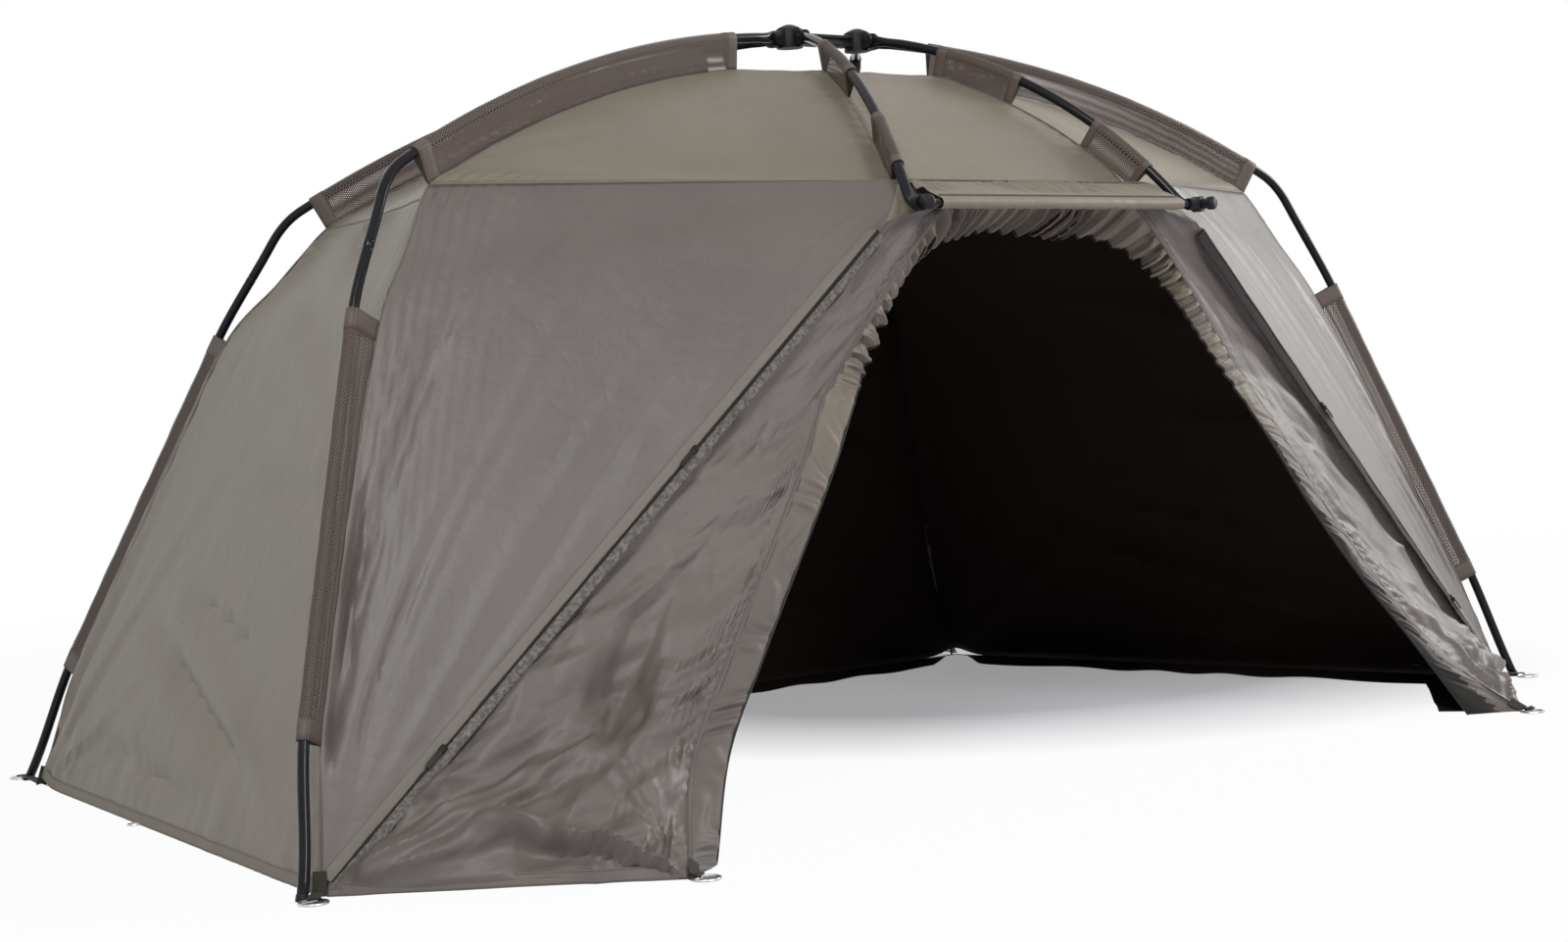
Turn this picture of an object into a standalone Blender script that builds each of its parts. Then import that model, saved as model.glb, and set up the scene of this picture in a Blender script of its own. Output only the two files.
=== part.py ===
"""Bivvy tent: a hinged six-pole dome frame with plug-in legs, and a sleeved canopy with a wide zipped door.

Metres. X runs across the front, Y from the front to the back and Z up from the ground. The origin is on the
ground in the middle of the footprint. Sizes are given for the right half (+X); the left half mirrors them.
"""

import math

import bmesh
import bpy
import numpy as np

# Frame: where the poles stand and meet
HUB_HEIGHT = 1.300
HUB_SETBACK = -0.169
KNUCKLE_OFFSET = 0.081
FRONT_FOOT_X = 1.394
FRONT_FOOT_Y = -0.613
REAR_FOOT_X = 1.145
REAR_FOOT_Y = 0.927
BEND_HEIGHT = 1.030
FRONT_BEND_X = 1.040
FRONT_BEND_Y = -0.345
REAR_BEND_X = 0.714
REAR_BEND_Y = 0.600
ARM_RISE = 0.056
BEND_REACH = 0.045

# Brow hoop over the door
PEAK_X = 0.318
PEAK_Y = -0.739
PEAK_HEIGHT = 0.950
BROW_RISE = 0.062
BROW_BEND_REACH = 0.018
BROW_TAIL_X = 0.014
BROW_TAIL_Y = -0.056

# Poles
POLE_DIAMETER = 0.017
POLE_WALL = 0.0012
SPIGOT_LENGTH = 0.070
SPIGOT_CLEARANCE = 0.0004
STUB_LENGTH = 0.115
FOOT_PLUG_HEIGHT = 0.008
FOOT_PLUG_DEPTH = 0.022
PLUG_FLANGE = 0.0012
PEAK_BAR_DIAMETER = 0.012

# Hub
PIVOT_RADIUS = 0.036
KNUCKLE_RADIUS = 0.024
KNUCKLE_HEIGHT = 0.034
KNUCKLE_CAP_HEIGHT = 0.008
KNUCKLE_CAP_RADIUS = 0.015
CHEEK_HEIGHT = 0.026
CHEEK_THICKNESS = 0.005
TONGUE_THICKNESS = 0.008
TONGUE_HEIGHT = 0.019
TONGUE_LENGTH = 0.016
TONGUE_TAPER = 0.020
SIDE_CLEARANCE = 0.0006
SLOT_DEPTH = 0.016
PIN_DIAMETER = 0.005
PIN_CLEARANCE = 0.0003
PIN_HEAD_DIAMETER = 0.009
PIN_HEAD_LENGTH = 0.0016
BAR_WIDTH = 0.030
BAR_HEIGHT = 0.020
BAR_FLANGE = 0.004
BAR_FLANGE_HEIGHT = 0.006
BAR_SEAT = 0.0003

# Peak bar fittings and brow pole caps
CLAMP_RADIUS = 0.0135
CLAMP_LENGTH = 0.018
CLAMP_ALONG = 0.029
BOSS_RADIUS = 0.0105
BOSS_LENGTH = 0.012
BAR_SOCKET_DEPTH = 0.010
SLIDE_FIT = 0.0004
CAP_RADIUS = 0.0115
CAP_LENGTH = 0.014
CAP_SOCKET_DEPTH = 0.009
CAP_ROUND = 0.003

# Sleeves of net that hold the canopy under the poles
SLEEVE_LOOSE = 0.0022
SLEEVE_THICKNESS = 0.0014
SLEEVE_WEB = 0.055
BROW_WEB = 0.045
WEB_THICKNESS = 0.0024
BINDING_THICKNESS = 0.004
BINDING_DEPTH = 0.006
BINDING_OVERLAP = 0.012
LOWER_SLEEVE_TOP = 0.820
LOWER_SLEEVE_BOTTOM = 0.210
HEM_SLEEVE_WEB = 0.092
HEM_SLEEVE_RISE = 0.044

# Canopy
FABRIC = 0.002
SEAM_GAP = 0.0003
PANEL_SEAM_GAP = 0.0004
FRILL_SEAM_GAP = 0.0012
CROWN_HEIGHT = 1.235
CROWN_HALF_LENGTH = 0.075
FRONT_CORNER_X = 1.362
FRONT_CORNER_Y = -0.606
REAR_CORNER_X = 1.161
REAR_CORNER_Y = 0.825
BROW_CORNER_X = 0.290
ZIP_TOP_X = 0.362
ZIP_TOP_Y = -0.728
ZIP_TOP_Z = 0.924
FRILL_END_X = 0.205
FRILL_END_Y = -0.718
FRILL_END_Z = 0.9625
DOOR_HALF_WIDTH = 0.878
DOOR_HEIGHT = 0.919
DOOR_FOOT_Y = -0.877
DOOR_TOP_Y = -0.630
FRILL_SIDE = 0.055
FRILL_BEHIND = 0.012
FLARE_HEIGHT = 0.170
FLARE_SIDE = 0.035
FLARE_PROUD = 0.074
GATHER_DEPTH = 0.006
FOLD_DEPTH = 0.010
WALL_SAG = 0.012
SKIRT_WIDTH = 0.150
SKIRT_INSET = 0.0067

# Zips
ZIP_TAPE_WIDTH = 0.020
ZIP_TAPE_THICKNESS = 0.0012
ZIP_COIL_WIDTH = 0.006
ZIP_COIL_HEIGHT = 0.0022
ZIP_END_INSET = 0.030
ZIP_LIFT = 0.0012
SLIDER_STANDOFF = 0.0005
SLIDER_LENGTH = 0.016
SLIDER_WIDTH = 0.011
SLIDER_HEIGHT = 0.005
PULL_LENGTH = 0.034
PULL_WIDTH = 0.008
PULL_THICKNESS = 0.002
UPPER_SLIDER_SHARE = 0.635
LOWER_SLIDER_SHARE = 0.180

# Peg discs and hem rings
DISC_RADIUS = 0.0225
DISC_HEIGHT = 0.0035
DISC_PLATE = 0.0015
DISC_RIM = 0.0035
DISC_SLOT_LENGTH = 0.026
DISC_SLOT_WIDTH = 0.008
DISC_SLOT_OFFSET = 0.011
DISC_STANDOFF = 0.0003
RING_WIRE = 0.003
RING_WIDTH = 0.024
RING_DEPTH = 0.018

# How finely things are divided
POLE_SIDES = 10
PIN_SIDES = 8
DISC_SIDES = 18
CLAMP_SIDES = 16
SLEEVE_ARC_POINTS = 9
ZIP_SPANS = 12
RIDGE_SPANS = 6
DOOR_SPANS = 24
FRILL_WAVES = 30
FRILL_SPANS_PER_WAVE = 4
FRILL_BANDS = 2
REAR_COLUMNS = 10
SIDE_COLUMNS = 8
ROOF_COLUMNS = 8

# Places along the upper arms and brow poles, as shares of their length
ARM_SLEEVE_SHARES = (0.12, 0.23, 0.34, 0.45, 0.56, 0.67, 0.76, 0.85, 0.93)
BROW_SLEEVE_SHARES = ((0.20, 0.325, 0.45), (0.685, 0.78, 0.872))
BROW_BARE_SHARES = (0.57,)
PIN_DOME_SHARE = 0.7
# The door's edge from its foot to the middle of its top: width, depth and height shares
DOOR_EDGE_SHARES = (
    (1.000, 0.00, 0.000),
    (0.910, 0.24, 0.155),
    (0.798, 0.38, 0.294),
    (0.687, 0.48, 0.437),
    (0.580, 0.55, 0.587),
    (0.469, 0.68, 0.745),
    (0.376, 0.77, 0.871),
    (0.300, 0.87, 0.944),
    (0.220, 0.95, 0.981),
    (0.110, 0.99, 0.997),
    (0.000, 1.00, 1.000),
)
FRILL_TURN_SHARE = 0.60
# Where the folds of the wrinkled door panels run: start, end (as shares across and up) and strength
INFILL_FOLD_SHARES = (
    ((0.15, 0.05), (0.75, 0.55), 1.0),
    ((0.35, 0.02), (0.90, 0.30), 0.8),
    ((0.20, 0.45), (0.80, 0.85), 0.7),
    ((0.60, 0.10), (0.50, 0.60), -0.7),
)
HEM_RING_SHARE = 0.42

UP = np.array((0.0, 0.0, 1.0))


def vec(x, y, z):
    return np.array((x, y, z), float)


def unit(v):
    return v / np.linalg.norm(v)


def mirrored(points, side):
    """The points of the right half, or their mirror image when side is -1."""
    return np.asarray(points, float) * vec(side, 1, 1)


def level(v):
    """The horizontal part of a direction, as a unit vector."""
    return unit(v * vec(1, 1, 0))


def square_to(v, axis):
    """The part of v at right angles to axis, as a unit vector."""
    return unit(v - axis * np.dot(v, axis))


def material(name, colour, roughness, metallic=0.0):
    m = bpy.data.materials.new(name)
    m.use_nodes = True
    shader = m.node_tree.nodes["Principled BSDF"]
    shader.inputs["Base Color"].default_value = (*colour, 1.0)
    shader.inputs["Roughness"].default_value = roughness
    shader.inputs["Metallic"].default_value = metallic
    m.diffuse_color = (*colour, 1.0)
    return m


class Shape:
    """Points and faces collected for one object."""

    def __init__(self):
        self.points = []
        self.faces = []

    def add(self, points, faces):
        start = len(self.points)
        self.points.extend(tuple(p) for p in points)
        self.faces.extend(tuple(start + i for i in f) for f in faces)
        return self

    def loft(self, rings, cyclic=False):
        """Skins equal rings in order. The ends are capped, or joined to each other if cyclic."""
        count = len(rings[0])
        spans = len(rings) if cyclic else len(rings) - 1
        faces = []
        for i in range(spans):
            a, b = i * count, (i + 1) % len(rings) * count
            faces += [(a + k, a + (k + 1) % count, b + (k + 1) % count, b + k) for k in range(count)]
        if not cyclic:
            last = (len(rings) - 1) * count
            faces.append(tuple(range(count))[::-1])
            faces.append(tuple(last + k for k in range(count)))
        return self.add([p for ring in rings for p in ring], faces)

    def object(self, name, look, origin=(0, 0, 0), parent=None, smooth_angle=35):
        mesh = bpy.data.meshes.new(name)
        shift = np.asarray(origin, float)
        mesh.from_pydata([tuple(np.asarray(p) - shift) for p in self.points], [], self.faces)
        work = bmesh.new()
        work.from_mesh(mesh)
        bmesh.ops.recalc_face_normals(work, faces=work.faces)
        work.to_mesh(mesh)
        work.free()
        mesh.materials.append(look)
        mesh.shade_smooth()
        mesh.set_sharp_from_angle(angle=math.radians(smooth_angle))
        thing = bpy.data.objects.new(name, mesh)
        bpy.context.scene.collection.objects.link(thing)
        thing.location = tuple(shift)
        if parent is not None:
            thing.parent = parent
            thing.location = tuple(shift - np.array(parent.location))
        return thing


def empty(name, place):
    """A joint's centre: an empty that the moving pieces hang from."""
    thing = bpy.data.objects.new(name, None)
    bpy.context.scene.collection.objects.link(thing)
    thing.location = tuple(place)
    return thing


def circle(centre, radius, across, rise, count):
    """A ring of points round a centre, in the plane of two unit vectors."""
    angles = np.arange(count) * math.tau / count
    return [centre + radius * (math.cos(a) * across + math.sin(a) * rise) for a in angles]


def cylinder(shape, start, end, radius, count=24):
    """A solid round bar between two points."""
    axis = unit(end - start)
    across = square_to(vec(1, 0, 0) if abs(axis[0]) < 0.9 else vec(0, 1, 0), axis)
    rise = np.cross(axis, across)
    shape.loft([circle(p, radius, across, rise, count) for p in (start, end)])
    return shape


def turned(shape, start, axis, profile, count=24):
    """A solid of revolution. The profile runs as (distance along the axis, radius) round a closed loop."""
    across = square_to(vec(1, 0, 0) if abs(axis[0]) < 0.9 else vec(0, 1, 0), axis)
    rise = np.cross(axis, across)
    shape.loft([circle(start + axis * d, r, across, rise, count) for d, r in profile], cyclic=True)
    return shape


def box(shape, centre, along, across, rise, length, width, height):
    """A box from three unit vectors and its full sizes along them."""
    ends = []
    for a in (-0.5, 0.5):
        ends.append([centre + a * length * along + b * width * across + c * height * rise
                     for b, c in ((-0.5, -0.5), (0.5, -0.5), (0.5, 0.5), (-0.5, 0.5))])
    shape.loft(ends)
    return shape


def cut(target, name, shape, operation="DIFFERENCE"):
    """Cuts a shape from an object, or adds it, with a guide that stays hidden."""
    guide = shape.object(name, target.data.materials[0])
    guide.hide_render = True
    guide.display_type = "WIRE"
    step = target.modifiers.new(name, "BOOLEAN")
    step.operation = operation
    step.solver = "EXACT"
    step.object = guide
    return guide


def tangents(points):
    """The direction of a path at each of its points."""
    points = np.asarray(points)
    steps = np.diff(points, axis=0)
    steps /= np.linalg.norm(steps, axis=1)[:, None]
    mean = np.vstack((steps[:1], steps[:-1] + steps[1:], steps[-1:]))
    return mean / np.linalg.norm(mean, axis=1)[:, None]


def rounded(before, corner, after, reach, count=6):
    """The bend of a pole: a quadratic curve that leaves both straights at the same reach from the corner."""
    a = corner + reach * unit(before - corner)
    b = corner + reach * unit(after - corner)
    shares = np.linspace(0, 1, count)[:, None]
    return list((1 - shares) ** 2 * a + 2 * shares * (1 - shares) * corner + shares ** 2 * b)


def arched(start, end, rise, share):
    """A point of an arm that arches above its chord by a rise, as a parabola in an upright plane."""
    chord = end - start
    lift = square_to(UP, unit(chord))
    return start + share * chord + 4 * rise * share * (1 - share) * lift


def blend_curve(table, count):
    """A smooth curve through a table of points (centripetal Catmull-Rom), sampled evenly by length."""
    table = np.asarray(table, float)
    padded = np.vstack((2 * table[0] - table[1], table, 2 * table[-1] - table[-2]))
    fine = []
    for i in range(1, len(padded) - 2):
        p0, p1, p2, p3 = padded[i - 1:i + 3]
        for t in np.linspace(0, 1, 16, endpoint=False):
            fine.append(0.5 * ((2 * p1) + (p2 - p0) * t + (2 * p0 - 5 * p1 + 4 * p2 - p3) * t ** 2
                               + (3 * p1 - p0 - 3 * p2 + p3) * t ** 3))
    fine.append(table[-1])
    return resampled(fine, count)


def resampled(points, count):
    """The same path, with count points evenly spaced along it."""
    points = np.asarray(points, float)
    run = np.concatenate(([0], np.cumsum(np.linalg.norm(np.diff(points, axis=0), axis=1))))
    wanted = np.linspace(0, run[-1], count)
    return np.column_stack([np.interp(wanted, run, points[:, k]) for k in range(3)])


class Leg:
    """One leg of the right half: its arm, its straight lower pole and the canopy seam inside them."""

    def __init__(self, foot, bend, corner):
        knuckle = vec(KNUCKLE_OFFSET, HUB_SETBACK, HUB_HEIGHT)
        self.out = level(bend - knuckle)
        self.pivot = knuckle + PIVOT_RADIUS * self.out
        self.axis = np.cross(UP, self.out)
        self.bend = bend
        self.foot = foot
        self.down = unit(foot - bend)
        self.joint = bend + STUB_LENGTH * self.down
        self.web = square_to(level(corner - foot), self.down)
        self.corner = corner

    def arm_point(self, share):
        return arched(self.pivot, self.bend, ARM_RISE, share)

    def pole_point(self, height):
        """The point of the lower pole's axis at a height."""
        return self.bend + (self.bend[2] - height) / -self.down[2] * self.down

    def upper_frames(self):
        """Points of the sleeved arm, each with the direction in which its web hangs."""
        points = [self.arm_point(s) for s in ARM_SLEEVE_SHARES]
        return points, [square_to(-UP, t) for t in tangents(points)]

    def ridge(self):
        """The canopy seam from the hem up to the crown. The first RIDGE_SPANS spans follow the lower pole."""
        heights = np.linspace(LOWER_SLEEVE_BOTTOM, LOWER_SLEEVE_TOP, RIDGE_SPANS - 2)
        lower = [self.pole_point(h) + SLEEVE_WEB * self.web for h in heights]
        points, webs = self.upper_frames()
        upper = [p + SLEEVE_WEB * w for p, w in zip(points, webs)][::-1]
        middle = 0.5 * (lower[-1] + upper[0])
        crown = vec(CROWN_HALF_LENGTH, HUB_SETBACK, CROWN_HEIGHT)
        return np.array([self.corner] + lower + [middle] + upper + [crown])


FRONT = Leg(vec(FRONT_FOOT_X, FRONT_FOOT_Y, 0), vec(FRONT_BEND_X, FRONT_BEND_Y, BEND_HEIGHT),
            vec(FRONT_CORNER_X, FRONT_CORNER_Y, 0))
REAR = Leg(vec(REAR_FOOT_X, REAR_FOOT_Y, 0), vec(REAR_BEND_X, REAR_BEND_Y, BEND_HEIGHT),
           vec(REAR_CORNER_X, REAR_CORNER_Y, 0))
BROW_PIVOT = vec(KNUCKLE_OFFSET, HUB_SETBACK - PIVOT_RADIUS, HUB_HEIGHT)
PEAK = vec(PEAK_X, PEAK_Y, PEAK_HEIGHT)
BROW_END = PEAK + vec(BROW_TAIL_X, BROW_TAIL_Y, 0)
SIDES = (("left", -1), ("right", 1))


def brow_point(share):
    return arched(BROW_PIVOT, PEAK, BROW_RISE, share)


def brow_frames(shares):
    """Points of the brow pole at some shares, each with the direction in which the web hangs."""
    around = [brow_point(s) for s in (0, *BROW_SLEEVE_SHARES[0], *BROW_BARE_SHARES, *BROW_SLEEVE_SHARES[1], 1)]
    points, webs = [], []
    for s in shares:
        p = brow_point(s)
        nearest = int(np.argmin([np.linalg.norm(q - p) for q in around]))
        points.append(p)
        webs.append(square_to(-UP, tangents(around)[nearest]))
    return points, webs


# Poles and hub


def tongue_rings(pivot, toward, thin, count):
    """The flattened end of a pole: an eye round the hinge pin that swells to the full round."""
    tall = np.cross(thin, toward)
    radius = POLE_DIAMETER / 2
    half_thin, half_tall = TONGUE_THICKNESS / 2, TONGUE_HEIGHT / 2
    stages = [(-half_tall, 1.0, 0.35), (-0.75 * half_tall, 1.0, 0.72), (0.0, 1.0, 1.0), (TONGUE_LENGTH, 1.0, 1.0)]
    rings = []
    for along, wide_share, tall_share in stages:
        ring = []
        for k in range(count):
            a = k * math.tau / count + math.tau / count / 2
            side = np.clip(math.cos(a) * 1.45, -1, 1) * half_thin * wide_share
            rise = np.clip(math.sin(a) * 1.45, -1, 1) * half_tall * tall_share
            ring.append(pivot + along * toward + side * thin + rise * tall)
        rings.append(ring)
    start = pivot + (TONGUE_LENGTH + TONGUE_TAPER) * toward
    ring = []
    for k in range(count):
        a = k * math.tau / count + math.tau / count / 2
        ring.append(start + radius * (math.cos(a) * thin + math.sin(a) * tall))
    rings.append(ring)
    return rings


def pole_rings(points, thin, radii, count):
    """Round sections along a path, with one reference direction kept across the path."""
    rings = []
    for p, t, r in zip(points, tangents(points), radii):
        across = square_to(thin, t)
        rise = np.cross(across, t)
        rings.append([p + r * (math.cos(a) * across + math.sin(a) * rise)
                      for a in (np.arange(count) + 0.5) * math.tau / count])
    return rings


def arm(name, leg, side, look, parent):
    """An upper arm: flattened eye, arch, bend, and the reduced spigot that plugs into the lower pole."""
    pivot = mirrored(leg.pivot, side)
    shares = (0.06, *ARM_SLEEVE_SHARES)
    path = [mirrored(leg.arm_point(s), side) for s in shares]
    bend = mirrored(leg.bend, side)
    joint = mirrored(leg.joint, side)
    path += [mirrored(p, side) for p in rounded(leg.arm_point(ARM_SLEEVE_SHARES[-1]), leg.bend, leg.foot, BEND_REACH)]
    down = unit(joint - bend)
    path += [joint]
    thin = mirrored(leg.axis, side)
    radius = POLE_DIAMETER / 2
    bore = radius - POLE_WALL - SPIGOT_CLEARANCE / 2
    toward = unit(path[0] - pivot)
    rings = tongue_rings(pivot, toward, thin, POLE_SIDES)
    body = pole_rings(path, thin, [radius] * len(path), POLE_SIDES)
    # the rings run on from the tongue's, so both are turned the same way
    shape = Shape()
    spigot = [joint, joint + SPIGOT_LENGTH * down]
    neck = pole_rings(spigot, square_to(thin, down), [bore, bore], POLE_SIDES)
    rings = rings + [matched(rings[-1], ring) for ring in body]
    neck = [matched(rings[-1], ring) for ring in neck]
    shape.loft(rings + neck)
    thing = shape.object(name, look, pivot, parent)
    hole = Shape()
    reach = TONGUE_THICKNESS
    cylinder(hole, pivot - reach * thin, pivot + reach * thin, PIN_DIAMETER / 2 + PIN_CLEARANCE, 16)
    cut(thing, name + "_eye", hole)
    return thing


def matched(before, ring):
    """The ring's points renumbered, and reversed if need be, to face those of the ring before it."""
    before = np.asarray(before)
    ring = np.asarray(ring)
    shift = ring.mean(axis=0) - before.mean(axis=0)
    best = None
    for order in (ring, ring[::-1]):
        for k in range(len(ring)):
            turned_ring = np.roll(order, k, axis=0)
            miss = np.sum((turned_ring - shift - before) ** 2)
            if best is None or miss < best[0]:
                best = (miss, turned_ring)
    return list(best[1])


def lower_pole(name, leg, side, look, parent):
    """A straight open tube over the arm's spigot, down to the foot plug."""
    start = mirrored(leg.joint, side)
    down = unit(mirrored(leg.foot, side) - start)
    floor_share = -1 / down[2]
    start = start + SEAM_GAP * down
    end = mirrored(leg.foot, side) - down * FOOT_PLUG_HEIGHT * floor_share
    thin = mirrored(leg.axis, side)
    outer = POLE_DIAMETER / 2
    inner = outer - POLE_WALL
    rings = pole_rings([start, end], thin, [outer, outer], POLE_SIDES)
    rings += pole_rings([start, end], thin, [inner, inner], POLE_SIDES)[::-1]
    return Shape().loft(rings, cyclic=True).object(name, look, start, parent)


def foot_plug(name, leg, side, look, parent):
    """A moulded plug in the pole's open end, with a flange cut level with the ground."""
    foot = mirrored(leg.foot, side)
    down = unit(foot - mirrored(leg.joint, side))
    floor_share = -1 / down[2]
    top = foot - down * FOOT_PLUG_HEIGHT * floor_share + SEAM_GAP * down
    thin = mirrored(leg.axis, side)
    inner = POLE_DIAMETER / 2 - POLE_WALL - SEAM_GAP
    flange = POLE_DIAMETER / 2 + PLUG_FLANGE
    stations = [top - FOOT_PLUG_DEPTH * down, top - (FOOT_PLUG_DEPTH - FOOT_PLUG_HEIGHT) * down, top]
    rings = pole_rings(stations, thin, [inner - PLUG_FLANGE, inner, inner], POLE_SIDES)
    rings += pole_rings(stations[1:], thin, [flange, flange], POLE_SIDES)[1:]
    rings.append([p - down * p[2] / down[2] for p in rings[-1]])
    return Shape().loft(rings).object(name, look, top, parent)


def brow_pole(name, side, look, parent):
    """A brow pole: eye, arch down to the peak, and a short tail that turns level and forward."""
    pivot = mirrored(BROW_PIVOT, side)
    thin = vec(side, 0, 0)
    shares = (0.09, *BROW_SLEEVE_SHARES[0], *BROW_BARE_SHARES, *BROW_SLEEVE_SHARES[1])
    path = [mirrored(brow_point(s), side) for s in shares]
    path += [mirrored(p, side) for p in rounded(brow_point(0.95), PEAK, BROW_END, BROW_BEND_REACH)]
    path += [mirrored(BROW_END, side)]
    radius = POLE_DIAMETER / 2
    toward = unit((path[0] - pivot) * vec(0, 1, 1))
    rings = tongue_rings(pivot, toward, thin, POLE_SIDES)
    for ring in pole_rings(path, thin, [radius] * len(path), POLE_SIDES):
        rings.append(matched(rings[-1], ring))
    thing = Shape().loft(rings).object(name, look, pivot, parent)
    hole = Shape()
    reach = TONGUE_THICKNESS
    cylinder(hole, pivot - reach * thin, pivot + reach * thin, PIN_DIAMETER / 2 + PIN_CLEARANCE, 16)
    cut(thing, name + "_eye", hole)
    return thing


def hinge_places(side):
    """The three hinges of one knuckle: pivot, outward direction and pin axis."""
    places = [(mirrored(leg.pivot, side), mirrored(leg.out, side), mirrored(leg.axis, side)) for leg in (FRONT, REAR)]
    places.append((mirrored(BROW_PIVOT, side), vec(0, -1, 0), vec(1, 0, 0)))
    return places


def knuckle(name, side, look):
    """A moulded end of the hub: a round core with a pair of cheeks round each pole's eye."""
    centre = vec(side * KNUCKLE_OFFSET, HUB_SETBACK, HUB_HEIGHT)
    half = KNUCKLE_HEIGHT / 2
    core = Shape()
    profile = [(-half, KNUCKLE_RADIUS), (half, KNUCKLE_RADIUS),
               (half + KNUCKLE_CAP_HEIGHT / 2, KNUCKLE_CAP_RADIUS + KNUCKLE_CAP_HEIGHT / 4),
               (half + KNUCKLE_CAP_HEIGHT, KNUCKLE_CAP_RADIUS / 2)]
    core.loft([circle(centre + d * UP, r, vec(1, 0, 0), vec(0, 1, 0), 32) for d, r in profile])
    thing = core.object(name, look, centre)
    slot_width = TONGUE_THICKNESS + 2 * SIDE_CLEARANCE
    width = slot_width + 2 * CHEEK_THICKNESS
    for number, (pivot, out, axis) in enumerate(hinge_places(side)):
        cheek = Shape()
        back = centre + 0.2 * (pivot - centre)
        ring = []
        for end, start_angle in ((pivot, -90), (back, 90)):
            for k in range(9):
                a = math.radians(start_angle + k * 180 / 8)
                ring.append(end + CHEEK_HEIGHT / 2 * (math.cos(a) * out + math.sin(a) * UP))
        cheek.loft([[p - width / 2 * axis for p in ring], [p + width / 2 * axis for p in ring]])
        cut(thing, f"{name}_cheeks_{number}", cheek, "UNION")
    for number, (pivot, out, axis) in enumerate(hinge_places(side)):
        slot = Shape()
        box(slot, pivot - SLOT_DEPTH * out + PIVOT_RADIUS * out, out, axis, UP,
            2 * PIVOT_RADIUS, slot_width, 2 * KNUCKLE_HEIGHT)
        cut(thing, f"{name}_slot_{number}", slot)
        hole = Shape()
        cylinder(hole, pivot - width * axis, pivot + width * axis, PIN_DIAMETER / 2 + PIN_CLEARANCE, 16)
        cut(thing, f"{name}_hole_{number}", hole)
    return thing


def hub_bar(name, look):
    """The ribbed bar that joins the two knuckles."""
    end = KNUCKLE_OFFSET - KNUCKLE_RADIUS - BAR_SEAT
    half_w, half_h = BAR_WIDTH / 2, BAR_HEIGHT / 2
    rib = half_w - BAR_FLANGE
    web = half_h - BAR_FLANGE_HEIGHT
    outline = [(-half_w, -half_h), (half_w, -half_h), (half_w, -web), (rib, -web), (rib, web), (half_w, web),
               (half_w, half_h), (-half_w, half_h), (-half_w, web), (-rib, web), (-rib, -web), (-half_w, -web)]
    rings = []
    for x in (-end, end):
        rings.append([vec(x, HUB_SETBACK + a, HUB_HEIGHT + b) for a, b in outline])
    thing = Shape().loft(rings).object(name, look, (0, HUB_SETBACK, HUB_HEIGHT))
    for number, side in enumerate((-1, 1)):
        seat = Shape()
        low = vec(side * KNUCKLE_OFFSET, HUB_SETBACK, HUB_HEIGHT - KNUCKLE_HEIGHT)
        cylinder(seat, low, low + 2 * KNUCKLE_HEIGHT * UP, KNUCKLE_RADIUS + BAR_SEAT, 32)
        cut(thing, f"{name}_seat_{number}", seat)
    return thing


def hinge_pins(label, side, look):
    """Plain pins with button heads, one through each pair of cheeks."""
    half = TONGUE_THICKNESS / 2 + SIDE_CLEARANCE + CHEEK_THICKNESS + SEAM_GAP
    head, shank = PIN_HEAD_DIAMETER / 2, PIN_DIAMETER / 2
    dome = PIN_DOME_SHARE * head
    stages = [(-half - PIN_HEAD_LENGTH, dome), (-half, head), (-half, shank), (half, shank), (half, head),
              (half + PIN_HEAD_LENGTH, dome)]
    for place, (pivot, _out, axis) in zip(("front", "rear", "brow"), hinge_places(side)):
        rise = np.cross(axis, UP)
        shape = Shape().loft([circle(pivot + d * axis, r, UP, rise, PIN_SIDES) for d, r in stages])
        shape.object(f"hinge_pin_{place}_{label}", look, pivot)


def peak_bar(name, look, parent):
    """The tension bar in the canopy's brow hem, between the two clamps."""
    half = bar_half_length()
    y, z = bar_line()
    shape = cylinder(Shape(), vec(-half, y, z), vec(half, y, z), PEAK_BAR_DIAMETER / 2, 16)
    return shape.object(name, look, (0, y, z), parent)


def bar_line():
    """Depth and height of the peak bar: level with the brow poles' tails, at the clamps' middle."""
    centre = clamp_centre()
    return centre[1], centre[2]


def clamp_centre():
    return PEAK + CLAMP_ALONG * unit(BROW_END - PEAK)


def bar_half_length():
    return clamp_centre()[0] - CLAMP_RADIUS - BOSS_LENGTH + BAR_SOCKET_DEPTH


def bar_clamp(name, side, look, parent):
    """A T-shaped moulding: a ring on the brow pole's tail with a socket for the peak bar."""
    centre = mirrored(clamp_centre(), side)
    along = unit(mirrored(BROW_END - PEAK, side))
    half = CLAMP_LENGTH / 2
    ring = cylinder(Shape(), centre - half * along, centre + half * along, CLAMP_RADIUS, CLAMP_SIDES)
    thing = ring.object(name, look, centre, parent)
    inward = vec(-side, 0, 0)
    boss = cylinder(Shape(), centre, centre + (CLAMP_RADIUS + BOSS_LENGTH) * inward, BOSS_RADIUS, CLAMP_SIDES)
    cut(thing, name + "_boss", boss, "UNION")
    bore = cylinder(Shape(), centre - CLAMP_LENGTH * along, centre + CLAMP_LENGTH * along,
                    POLE_DIAMETER / 2 + SLIDE_FIT, CLAMP_SIDES)
    cut(thing, name + "_bore", bore)
    mouth = centre + (CLAMP_RADIUS + BOSS_LENGTH) * inward
    socket = cylinder(Shape(), mouth - (BAR_SOCKET_DEPTH + SLIDE_FIT) * inward, mouth + BOSS_LENGTH * inward,
                      PEAK_BAR_DIAMETER / 2 + SLIDE_FIT, CLAMP_SIDES)
    cut(thing, name + "_socket", socket)
    return thing


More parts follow.
